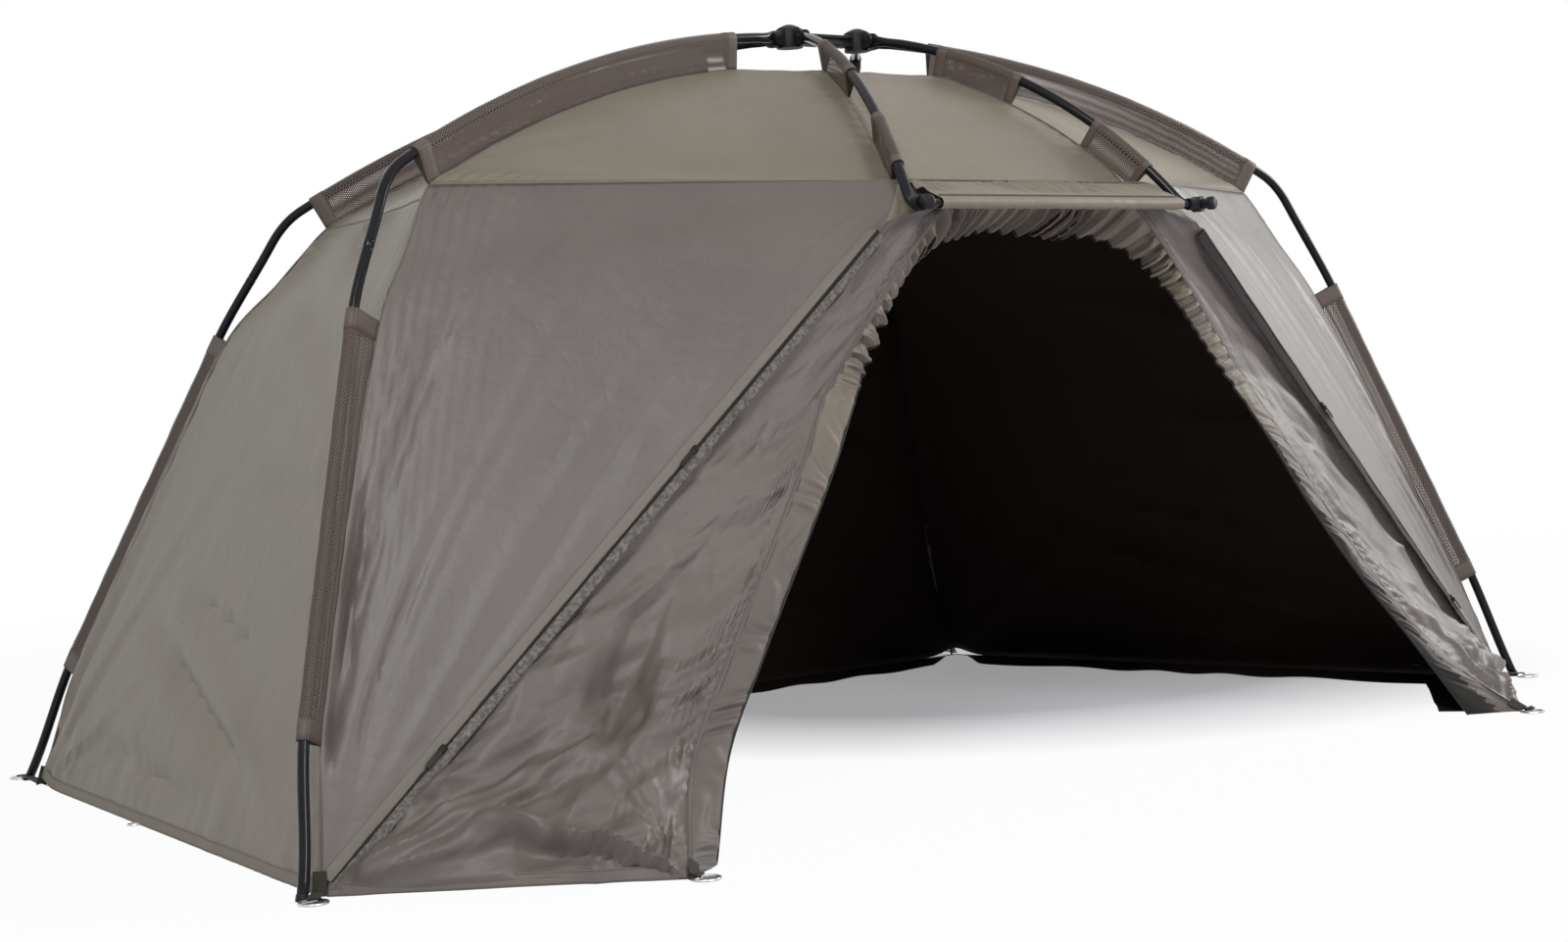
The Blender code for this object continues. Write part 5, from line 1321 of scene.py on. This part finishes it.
def sleeve_sections(points, webs, web_length, pole):
    """Sleeve: round the pole on its outer side, then two flat layers, tangent to it, that meet at the seam."""
    t = tangents(points)
    across = unit(np.cross(t, webs))
    radius = pole / 2 + SLEEVE_GAP
    web_length = np.broadcast_to(web_length, len(points))[:, None]
    half = math.pi - np.arccos(radius / web_length)
    a = half * np.linspace(-1, 1, 15)[None]
    arc = -np.cos(a)[..., None] * webs[:, None] + np.sin(a)[..., None] * across[:, None]
    arc = points[:, None] + radius * arc
    down = np.linspace(0, 1, 9)[None, 1:, None]
    meet = points[:, None] + (web_length - 0.001)[..., None] * webs[:, None]
    one = (1 - down) * arc[:, -1:] + down * (meet + 0.0009 * across[:, None])
    two = (1 - down) * arc[:, :1] + down * (meet - 0.0009 * across[:, None])
    return np.concatenate((arc, one, two[:, ::-1]), axis=1)


class BIVVY_OT_sleeves(bpy.types.Operator):
    """Net sleeves over the poles, with a bound edge at each end"""

    bl_idname = "bivvy.sleeves"
    bl_label = "Sleeves"

    def execute(self, context):
        s = context.scene.bivvy_sizes
        for label, side in SIDES:
            for place in LEGS:
                leg = leg_lines(place)
                body = f"arm_{place}_{label}"
                arm = arch(leg["pivot"], leg["bend"], ARM_RISE, np.linspace(ARM_SHARES[0], ARM_SHARES[-1], 90))
                low = pole_at(leg, np.linspace(*LOWER_SLEEVE[::-1], 60))
                webs = np.broadcast_to(leg["web"], low.shape)
                self.sleeve(f"net_upper_{place}_{label}", arm, hanging(arm), WEB, side, s, body,
                            [f"sleeve_{place}_{label}"])
                self.sleeve(f"net_lower_{place}_{label}", low, webs, lower_webs(place, len(low))[::-1], side, s,
                            body)
            for number, shares in enumerate(BROW_SHARES):
                points, webs = brow_frames(np.linspace(shares[0], shares[-1], 30))
                self.sleeve(f"net_brow_{number + 1}_{label}", points, webs, BROW_WEB, side, s, HOOP,
                            [] if number else [f"sleeve_brow_{label}"])
        return {"FINISHED"}

    def sleeve(self, name, points, webs, web, side, s, body, nodes=()):
        rng = np.random.default_rng(len(name) + ord(name[-1]))
        wave = 0.0007 * np.sin(run_of(points) * 60 + rng.uniform(0, 6)) * np.sin(run_of(points) * 23)
        across = unit(np.cross(tangents(points), webs))
        sections = sleeve_sections(points, webs, web, s.pole_diameter) + (wave[:, None] * across)[:, None]
        sections = mirrored(sections, side)
        fitted(closed_tube(name, sections, "net"), nodes, body, fold=False)
        for k, span in (("start", slice(0, 4)), ("end", slice(-4, None))):
            ring = sections[span]
            centre = ring.mean(axis=1, keepdims=True)
            hem = closed_tube(f"{name}_{k}_hem", centre + (ring - centre) * 1.03, "net_edge")
            fitted(hem, body=body, fold=False)


def tongue_sections(pivot, toward, thin, radius, sides):
    """Flattened pole end: sections that go from a thin tall superellipse at the eye to the full round."""
    along = np.array((-0.0095, -0.0088, -0.006, 0.0, 0.010, 0.016, 0.022, 0.030, 0.036))
    share = smooth((along - 0.014) / 0.022)
    half_thin = 0.004 + (radius - 0.004) * share
    half_tall = np.array((0.0030, 0.0052, 0.0078, 0.0095, 0.0095, 0.0095, 0.0093, 0.0088, radius))
    power = 0.45 + 0.55 * share
    tall = np.cross(toward, thin)
    a = np.linspace(0, 2 * math.pi, sides, endpoint=False)[None]
    x = np.sign(np.cos(a)) * np.abs(np.cos(a)) ** power[:, None] * half_thin[:, None]
    y = np.sign(np.sin(a)) * np.abs(np.sin(a)) ** power[:, None] * half_tall[:, None]
    return pivot + along[:, None, None] * toward + x[..., None] * thin + y[..., None] * tall


def rounded(before, corner, after, reach, count=14):
    """Bend of a pole: a quadratic curve that leaves both straights at the same reach from the corner."""
    a, b = corner + reach * unit(before - corner), corner + reach * unit(after - corner)
    t = np.linspace(0, 1, count)[:, None]
    return (1 - t) ** 2 * a + 2 * t * (1 - t) * corner + t ** 2 * b


def pole_object(name, pivot, path, thin, radius, radii=None):
    """A pole from its flattened eye at the pivot along its path, with its own radius at each point if given."""
    toward = unit(path[0] - pivot)
    eye = tongue_sections(pivot, toward, thin, radius, POLE_SIDES)
    t = tangents(path)
    across = square_to(np.broadcast_to(thin, path.shape), t)
    tall = np.cross(t, across)
    a = np.linspace(0, 2 * math.pi, POLE_SIDES, endpoint=False)
    radii = np.full(len(path), radius) if radii is None else radii
    body = path[:, None] + radii[:, None, None] * (np.cos(a)[None, :, None] * across[:, None]
                                                   + np.sin(a)[None, :, None] * tall[:, None])
    thing = closed_tube(name, np.concatenate((eye, body)), "pole")
    thing.data.set_sharp_from_angle(angle=math.radians(50))
    return thing


class BIVVY_OT_poles(bpy.types.Operator):
    """Gloss poles: curved arms and brow poles with flattened eyes, and the lower poles with their joint"""

    bl_idname = "bivvy.poles"
    bl_label = "Poles"

    def execute(self, context):
        s = context.scene.bivvy_sizes
        r = s.pole_diameter / 2
        for label, side in SIDES:
            for place in LEGS:
                leg = leg_lines(place)
                pivot, bend = leg["pivot"], leg["bend"]
                path = arch(pivot, bend, ARM_RISE, np.linspace(0.06, 0.93, 60))
                knee = rounded(path[-1], bend, leg["foot"], BEND_REACH)
                down = leg["down"]
                tail = line(knee[-1], leg["joint"], 10)[1:]
                path = bowed(evenly(np.vstack((path, knee, tail)), 150), leg)
                path = np.vstack((path, bowed(leg["joint"] + np.array([[0.0002], [0.06]]) * down, leg)))
                radii = np.full(len(path), r)
                radii[-2:] = r - NECK_STEP
                thin = np.cross(UP, leg["out"])
                thing = pole_object(f"arm_tube_{place}_{label}", mirrored(pivot, side), mirrored(path, side),
                                    mirrored(thin, side), r, radii)
                arm = f"arm_{place}_{label}"
                fitted(thing, [arm], arm, fold=False)
                self.lower(place, label, side, leg, r)
            peak = np.array(PEAK)
            points = arch(brow_pivot(), peak, BROW_RISE, np.linspace(0.09, 0.95, 50))
            end = peak + BROW_TAIL
            bend = rounded(points[-1], peak, end, BROW_BEND_REACH)
            path = evenly(np.vstack((points, bend, line(peak + 0.5 * (end - peak), end, 6))), 90)
            thing = pole_object(f"brow_tube_{label}", mirrored(brow_pivot(), side), mirrored(path, side),
                                np.array((side, 0, 0.0)), r)
            fitted(thing, [f"brow_pole_{label}"], HOOP, fold=False)
        return {"FINISHED"}

    def lower(self, place, label, side, leg, r):
        """Open tube from the joint down, with a rolled lip and a swaged band below it."""
        down = leg["down"]
        foot = leg["foot"] - down * FOOT_HEIGHT / -down[2]
        total = np.linalg.norm(foot - leg["joint"])
        along = np.concatenate(((0.0004, 0.0012, 0.003, 0.010, 0.012, 0.014),
                                np.linspace(0.02, total - 0.001, 60), (total,)))
        outer = r + np.interp(along, (0.0004, 0.0012, 0.010, 0.012, 0.014, total - 0.001, total),
                              (-0.0004, 0.0002, 0.0002, -0.0004, 0.0, 0.0, -0.0004))
        path = bowed(leg["joint"] + along[:, None] * down, leg)
        outside = tube_sections(path, outer, POLE_SIDES, flat=leg["web"])
        inside = tube_sections(path[::-1], r - TUBE_WALL, POLE_SIDES, flat=leg["web"])
        rings = mirrored(np.concatenate((outside, inside, outside[:1])), side)
        thing = surface(f"lower_tube_{place}_{label}", [rings], finishes("pole"), outside=False, wrap=True)
        fix_normals(thing)
        thing.data.set_sharp_from_angle(angle=math.radians(50))
        pole = f"lower_pole_{place}_{label}"
        fitted(thing, [pole], pole, fold=False)


def fix_normals(thing):
    work = bmesh.new()
    work.from_mesh(thing.data)
    bmesh.ops.recalc_face_normals(work, faces=work.faces)
    work.to_mesh(thing.data)
    work.free()


def softened(node, look, body, bevel, fold=False):
    """The node's solid with its loose triangles merged and its edges rounded, as a moulding's are."""
    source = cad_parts[node]
    work = bmesh.new()
    work.from_mesh(source.data)
    work.transform(source.matrix_world)
    bmesh.ops.remove_doubles(work, verts=work.verts, dist=0.00002)
    bmesh.ops.dissolve_limit(work, angle_limit=math.radians(3), verts=work.verts, edges=work.edges)
    mesh = bpy.data.meshes.new(f"{node}_finish")
    work.to_mesh(mesh)
    work.free()
    mesh.materials.append(*finishes(look))
    thing = bpy.data.objects.new(f"{node}_finish", mesh)
    bpy.context.scene.collection.objects.link(thing)
    step = thing.modifiers.new("Rounding", "BEVEL")
    step.width = bevel
    step.segments = 2
    step.limit_method = "ANGLE"
    step.angle_limit = math.radians(30)
    step.use_clamp_overlap = True
    mesh.shade_smooth()
    mesh.set_sharp_from_angle(angle=math.radians(60))
    fitted(thing, [node], body, fold)


class BIVVY_OT_fittings(bpy.types.Operator):
    """Hub, hinge pins, clamps, caps, feet, peak bar, discs, rings and sliders, with rounded edges"""

    bl_idname = "bivvy.fittings"
    bl_label = "Fittings"

    def execute(self, context):
        softened("hub_bar", "moulding", ROOT, 0.0009)
        for label, _ in SIDES:
            softened(f"hub_knuckle_{label}", "moulding", ROOT, 0.0009)
            for node in ("bar_clamp", "brow_cap"):
                softened(f"{node}_{label}", "moulding", HOOP, 0.0009)
            for place in ("front", "rear", "brow"):
                softened(f"hinge_pin_{place}_{label}", "moulding", ROOT, 0.0003)
            for place in LEGS:
                softened(f"foot_{place}_{label}", "moulding", f"lower_pole_{place}_{label}",
                         0.0006)
            for place in ("front", "rear", "door"):
                softened(f"peg_disc_{place}_{label}", "metal", ROOT, 0.0004, fold=True)
            softened(f"hem_ring_{label}", "metal", ROOT, 0.0003, fold=True)
            for place in ("upper", "lower"):
                softened(f"zip_slider_{place}_{label}", "moulding", f"slider_{place}_{label}",
                         0.0004, fold=True)
        softened("peak_bar", "pole", HOOP, 0.0003)
        return {"FINISHED"}


class BIVVY_OT_brow(bpy.types.Operator):
    """Brow flap: cloth from the stitched line down to a pocket round the peak bar, gathered by its hem"""

    bl_idname = "bivvy.brow"
    bl_label = "Brow flap"

    def execute(self, context):
        s = context.scene.bivvy_sizes
        half = BROW_CORNER_X - s.pole_diameter / 2
        columns = 420
        x = np.linspace(-half, half, columns)
        bar = bar_line()
        back = hem_direction()
        v = np.linspace(0, 1, 22)[:, None]
        turn = np.linspace(0, 2 * math.pi, 15)[:, None]
        front = np.cross((1, 0, 0), back)
        slant = x + 0.05 * v
        wave = np.sin(2 * math.pi * slant / 0.017 + 2.6 * np.sin(x * 19)) + 0.7 * np.sin(slant * 141 + 1)
        wave = wave * (0.55 + 0.45 * np.sin(slant * 17 + 0.6))
        flat = bar + BROW_LOOP * front * (1 - v[..., None]) + (HEM_WEB[0] - 0.001) * v[..., None] * back
        flat = flat + np.zeros((1, columns, 1))
        flat[..., 0] = x
        flat = flat + (0.0068 * smooth(v * 1.5 - 0.3) * (1 - v ** 8) * wave)[..., None] * front
        loop = bar + BROW_LOOP * (np.cos(turn)[..., None] * front - np.sin(turn)[..., None] * back)
        loop = loop + np.zeros((1, columns, 1))
        loop[..., 0] = x
        loop = loop + (0.0006 * np.sin(turn / 2) * np.sin(x * 190)[None])[..., None] * front
        thing = surface("brow_flap", [flat, loop[::-1]], finishes("roof", "lining"), outside=False)
        fix_normals(thing)
        declare_sheet(thing)
        thickened(thing, 0.0009, lining=True, offset=0.0)
        fitted(thing, ["brow_hem"], HOOP, fold=False)
        x = np.linspace(-half + 0.004, half - 0.004, 160)[:, None]
        for name, height, tall in (("pocket", 0.125, 0.003), ("stitching", 0.975, 0.004)):
            path = flat[0, 0] * (0, 1, 1) + (flat[-1, 0] - flat[0, 0]) * (0, height, height) + x * (1, 0, 0)
            sections = strap_sections(path + 0.0016 * front, back, tall, 0.0024)
            fitted(closed_tube(f"brow_{name}", sections, "dark_seam"), body=HOOP, fold=False)
        return {"FINISHED"}


class BIVVY_OT_zips(bpy.types.Operator):
    """Zips: a tape that follows both panels, the coil along its middle, and a fold of cloth on each side"""

    bl_idname = "bivvy.zips"
    bl_label = "Zips"

    def execute(self, context):
        s = context.scene.bivvy_sizes
        base = panels()
        for label, side in SIDES:
            infill, flank = mirrored(base["infill"], side), mirrored(base["side"], side)
            path = infill[:, 0]
            along = unit(path[-1] - path[0])
            door_way = square_to(infill[:, 3] - path, np.broadcast_to(along, path.shape))
            column = np.linspace(0, ZIP_STEPS, len(path)).round().astype(int)
            flank_way = square_to(flank[3, column] - path, np.broadcast_to(along, path.shape))
            door_normal = np.cross(along, door_way)
            door_normal *= -np.sign(door_normal[:, 1:2])
            flank_normal = np.cross(along, flank_way)
            flank_normal *= -np.sign(flank_normal[:, 1:2])
            middle = unit(door_normal + flank_normal)
            keep = slice(4, -4)
            w = s.tape_width
            ways = [path + w * door_way + 0.0014 * door_normal,
                    path + 0.4 * w * door_way + 0.0016 * door_normal,
                    path + 0.0018 * middle,
                    path + 0.4 * w * flank_way + 0.0016 * flank_normal,
                    path + w * flank_way + 0.0014 * flank_normal]
            tape = surface(f"zip_tape_cloth_{label}", [np.stack(ways, axis=1)[keep]], finishes("webbing"))
            thickened(tape, 0.0008, offset=1.0)
            fitted(tape, [f"zip_tape_{label}"])
            self.coil(f"zip_coil_{label}", path[keep], along, middle[keep])
            run = run_of(path)
            ripple = 0.0005 * np.sin(run * 310 + 2 * np.sin(run * 41)) + 0.0008 * np.sin(run * 47)
            # On the right the door-side fold gets the near-black webbing colour as painted shade under the side
            # panel's edge; on the left it is the bunched welt with its painted shade.
            inner = "crinkled" if side < 0 else "webbing"
            rows = (("door", door_way, door_normal, 0.0100, 0.016, inner),
                    ("flank", flank_way, flank_normal, 0.0095, 0.017, "welt"))
            for key, way, normal, reach, width, look in rows:
                edge = path + reach * way + (0.0026 + ripple)[:, None] * normal
                sections = strap_sections(edge[keep], way[keep], width, 0.0030)
                fitted(closed_tube(f"zip_fold_{key}_{label}", sections, look))
        return {"FINISHED"}

    def coil(self, name, path, along, normal):
        """Coil: one helix flattened across the zip, as a tube whose centre turns once every pitch."""
        run = run_of(path)
        count = int(run[-1] / COIL_PITCH)
        t = np.linspace(0, run[-1], count * 6)
        n = unit(sampled(normal, run, t))
        across = np.cross(np.broadcast_to(along, n.shape), n)
        a = 2 * math.pi * t / COIL_PITCH
        helix = sampled(path, run, t) + COIL_HALF * np.cos(a)[:, None] * across
        helix = helix + (0.0031 + 0.0008 * np.sin(a))[:, None] * n
        sections = tube_sections(helix, COIL_WIRE, WIRE_SIDES, flat=along)
        fitted(closed_tube(name, sections, "webbing"))


class BIVVY_OT_skirt(bpy.types.Operator):
    """Flap on the ground inside the walls, with a slightly curled free edge"""

    bl_idname = "bivvy.skirt"
    bl_label = "Skirt"

    def execute(self, context):
        s = context.scene.bivvy_sizes
        side_seam, _ = frill_seam(50)
        front, rear = np.array(LEGS["front"]["corner"]), np.array(LEGS["rear"]["corner"])
        end = side_seam[0] + 0.008 * unit(front - side_seam[0])
        half = np.array([end, front, rear])
        outline = np.vstack((mirrored(half, -1), half[::-1]))
        outer, inner = (offset_path(outline, SKIRT_INSET + reach) for reach in (0.0, s.skirt_width))
        steps = np.linspace(0, len(outline) - 1, 401)
        keys = np.arange(len(outline))
        one, two = sampled(outer, keys, steps), sampled(inner, keys, steps)
        v = np.linspace(0, 1, 16)[:, None, None]
        corners = np.stack([np.linalg.norm(one - outer[k], axis=1) for k in (2, 3)])
        notch = smooth((corners.min(axis=0) - 0.03) / 0.05)[None, :, None]
        reach = v * (0.15 + 0.85 * notch)
        grid = (1 - reach) * one[None] + reach * two[None]
        run = run_of(one)[None]
        grid[..., 2] = 0.0012 + 0.0022 * v[..., 0] * (1 + np.sin(run * 21 + 2 * np.sin(run * 5))) * v[..., 0]
        thing = surface("skirt_cloth", [grid], finishes("skirt"), outside=False)
        mesh_up(thing)
        declare_sheet(thing)
        thickened(thing, 0.0010)
        fitted(thing, ["mud_skirt"])
        return {"FINISHED"}


def mesh_up(thing):
    """Turns a lying sheet's faces upwards."""
    normals = np.empty(len(thing.data.polygons) * 3)
    thing.data.polygons.foreach_get("normal", normals)
    if normals.reshape(-1, 3)[:, 2].sum() < 0:
        thing.data.flip_normals()


def offset_path(points, distance):
    """An open path on the ground moved to its right, mitred at its corners."""
    steps = unit(np.diff(points, axis=0))
    rights = np.cross(steps, UP)
    before = np.vstack((rights[:1], rights))
    after = np.vstack((rights, rights[-1:]))
    mean = unit(before + after)
    return points + mean * (distance / np.sum(mean * before, axis=1, keepdims=True))


class BIVVY_OT_corners(bpy.types.Operator):
    """Webbing at the corners: a strap from the foot of each seam down to its peg disc"""

    bl_idname = "bivvy.corners"
    bl_label = "Corner webbing"

    def execute(self, context):
        s = context.scene.bivvy_sizes
        base = panels()
        for label, side in SIDES:
            self.corner("front", label, side, base["side"][:, 0], LEGS["front"]["corner"], s)
            self.corner("rear", label, side, base["wall"][:, -1], LEGS["rear"]["corner"], s)
            self.corner("door", label, side, base["infill"][:, -1], base["infill"][0, -1], s)
        return {"FINISHED"}

    def corner(self, place, label, side, seam, corner, s):
        low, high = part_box(f"peg_disc_{place}_{label}")
        disc = np.array([(a + b) / 2 for a, b in zip(low, high)])
        corner = mirrored(corner, side)
        seam = evenly(mirrored(seam, side), 200)
        run = run_of(seam)
        patch = at_run(seam, np.linspace(0.004, 0.036, 8)[::-1])
        out = level(disc - corner)
        lifted = patch + 0.0045 * out
        slot = disc - 0.008 * out
        path = np.vstack((lifted, [corner + 0.006 * out + 0.006 * UP, corner * 0.6 + slot * 0.4 + 0.007 * UP,
                                   slot + 0.0060 * UP, slot + 0.0035 * UP]))
        path = spline(path, np.linspace(0, len(path) - 1, 60))
        across = np.cross(UP, out)
        sections = strap_sections(path, across, s.webbing_width, 0.0016)
        fitted(closed_tube(f"webbing_{place}_{label}", sections, "webbing"))


class BIVVY_OT_studio(bpy.types.Operator):
    """Pale floor, soft lights, plain world and the camera"""

    bl_idname = "bivvy.studio"
    bl_label = "Studio"

    def execute(self, context):
        studio = context.scene.bivvy_studio
        self.floor(context.scene.bivvy_colours.floor)
        for name, place, size in LAMPS:
            self.lamp(name, place, size, getattr(studio, name.lower()))
        self.world(studio.sky)
        self.camera()
        context.scene.view_settings.view_transform = "Standard"
        return {"FINISHED"}

    def floor(self, tone):
        """A pale floor whose lavender tint is painted shade colour, and which glows to the camera, more so away
        from the shelter.
        """
        grid = np.zeros((2, 2, 3))
        grid[..., 0] = [[-FLOOR_REACH, FLOOR_REACH]] * 2
        grid[..., 1] = [[-FLOOR_REACH] * 2, [FLOOR_REACH] * 2]
        grid[..., 2] = -FLOOR_DEPTH
        m = bpy.data.materials.new("Studio floor")
        m.use_nodes = True
        g = Graph(m.node_tree)
        shader = m.node_tree.nodes["Principled BSDF"]
        shader.inputs["Base Color"].default_value = shade(tone)
        shader.inputs["Roughness"].default_value = 0.9
        shader.inputs["Specular IOR Level"].default_value = 0.1
        glow = g.node("Emission")
        glow.inputs["Strength"].default_value = 1.0
        path = g.node("LightPath")
        coords = g.node("TexCoord")
        place = g.node("Mapping")
        place.inputs["Location"].default_value = FLOOR_SHIFT
        g.feed(place.inputs["Vector"], coords.outputs["Object"])
        away = g.node("VectorMath", operation="LENGTH")
        g.feed(away.inputs[0], place.outputs[0])
        share = FLOOR_GLOW
        for low, high, more in FLOOR_RINGS:
            share = g.math("ADD", share, g.math("MULTIPLY", g.ramp(away.outputs["Value"], low, high), more))
        seen = g.math("MAXIMUM", path.outputs["Is Camera Ray"], path.outputs["Is Glossy Ray"])
        mix = g.node("MixShader")
        g.feed(mix.inputs[0], g.math("MULTIPLY", seen, share))
        g.feed(mix.inputs[1], shader.outputs[0])
        g.feed(mix.inputs[2], glow.outputs[0])
        g.feed(m.node_tree.nodes["Material Output"].inputs["Surface"], mix.outputs[0])
        thing = surface("studio_floor", [grid], (m,), outside=False)
        mesh_up(thing)

    def lamp(self, name, place, size, power):
        """A soft round lamp that faces the shelter."""
        data = bpy.data.lights.new(name, "AREA")
        data.shape = "DISK"
        data.size = size
        data.energy = power
        thing = bpy.data.objects.new(name, data)
        bpy.context.scene.collection.objects.link(thing)
        ahead = unit(np.array(AIM) - place)
        right = unit(np.cross(ahead, UP))
        turn = np.stack((right, np.cross(right, ahead), -ahead), axis=1)
        thing.matrix_world = Matrix.Translation(place) @ Matrix(turn.tolist()).to_4x4()

    def world(self, strength):
        """White to the camera, and weak as a light."""
        world = bpy.data.worlds.new("Studio")
        bpy.context.scene.world = world
        world.use_nodes = True
        g = Graph(world.node_tree)
        back = world.node_tree.nodes["Background"]
        path = g.node("LightPath")
        seen = g.math("MAXIMUM", path.outputs["Is Camera Ray"],
                      g.math("MAXIMUM", path.outputs["Is Glossy Ray"], path.outputs["Is Transmission Ray"]))
        g.feed(back.inputs["Strength"], g.math("ADD", strength, g.math("MULTIPLY", seen, 1.0 - strength)))
        back.inputs["Color"].default_value = (1, 1, 1, 1)

    def camera(self):
        """Camera fitted to the mirrored pairs of seams and poles in the photo."""
        data = bpy.data.cameras.new("Camera")
        data.sensor_width = 36.0
        data.lens = CAMERA_LENS
        data.clip_end = 200
        thing = bpy.data.objects.new("Camera", data)
        bpy.context.scene.collection.objects.link(thing)
        yaw, pitch, roll = CAMERA_TURN
        ahead = np.array((math.sin(yaw) * math.cos(pitch), math.cos(yaw) * math.cos(pitch), math.sin(pitch)))
        right = np.array((math.cos(yaw), -math.sin(yaw), 0.0))
        up = np.cross(right, ahead)
        tilted = right * math.cos(roll) + up * math.sin(roll)
        upright = -right * math.sin(roll) + up * math.cos(roll)
        turn = np.stack((tilted, upright, -ahead), axis=1)
        thing.matrix_world = Matrix.Translation(CAMERA_PLACE) @ Matrix(turn.tolist()).to_4x4()
        bpy.context.scene.camera = thing


class BIVVY_PT_panel(bpy.types.Panel):
    """Lists the sizes, the colours and the pieces"""

    bl_label = "Bivvy Tent"
    bl_idname = "BIVVY_PT_panel"
    bl_space_type = "VIEW_3D"
    bl_region_type = "UI"
    bl_category = "Bivvy"

    def draw(self, context):
        for group in (context.scene.bivvy_sizes, context.scene.bivvy_colours, context.scene.bivvy_studio):
            box = self.layout.box()
            for key in group.__annotations__:
                box.prop(group, key)
        for piece in PIECES:
            self.layout.operator(piece.bl_idname)


PIECES = (BIVVY_OT_studio, BIVVY_OT_roof, BIVVY_OT_walls, BIVVY_OT_side_panels, BIVVY_OT_door_panels,
          BIVVY_OT_frill, BIVVY_OT_seams, BIVVY_OT_sleeves, BIVVY_OT_poles, BIVVY_OT_fittings, BIVVY_OT_brow,
          BIVVY_OT_zips, BIVVY_OT_skirt, BIVVY_OT_corners)
GROUPS = (("bivvy_sizes", BivvySizes), ("bivvy_colours", BivvyColours), ("bivvy_studio", BivvyStudio))


def register():
    for name, group in GROUPS:
        bpy.utils.register_class(group)
        setattr(bpy.types.Scene, name, bpy.props.PointerProperty(type=group))
    for piece in (*PIECES, BIVVY_PT_panel):
        bpy.utils.register_class(piece)


def unregister():
    for piece in (BIVVY_PT_panel, *reversed(PIECES)):
        bpy.utils.unregister_class(piece)
    for name, group in reversed(GROUPS):
        delattr(bpy.types.Scene, name)
        bpy.utils.unregister_class(group)


def main():
    register()
    for piece in PIECES:
        call = getattr(bpy.ops.bivvy, piece.bl_idname.split(".")[1])
        if call() != {"FINISHED"}:
            raise RuntimeError(f"{piece.bl_label} didn't finish")


if __name__ == "__main__":
    main()
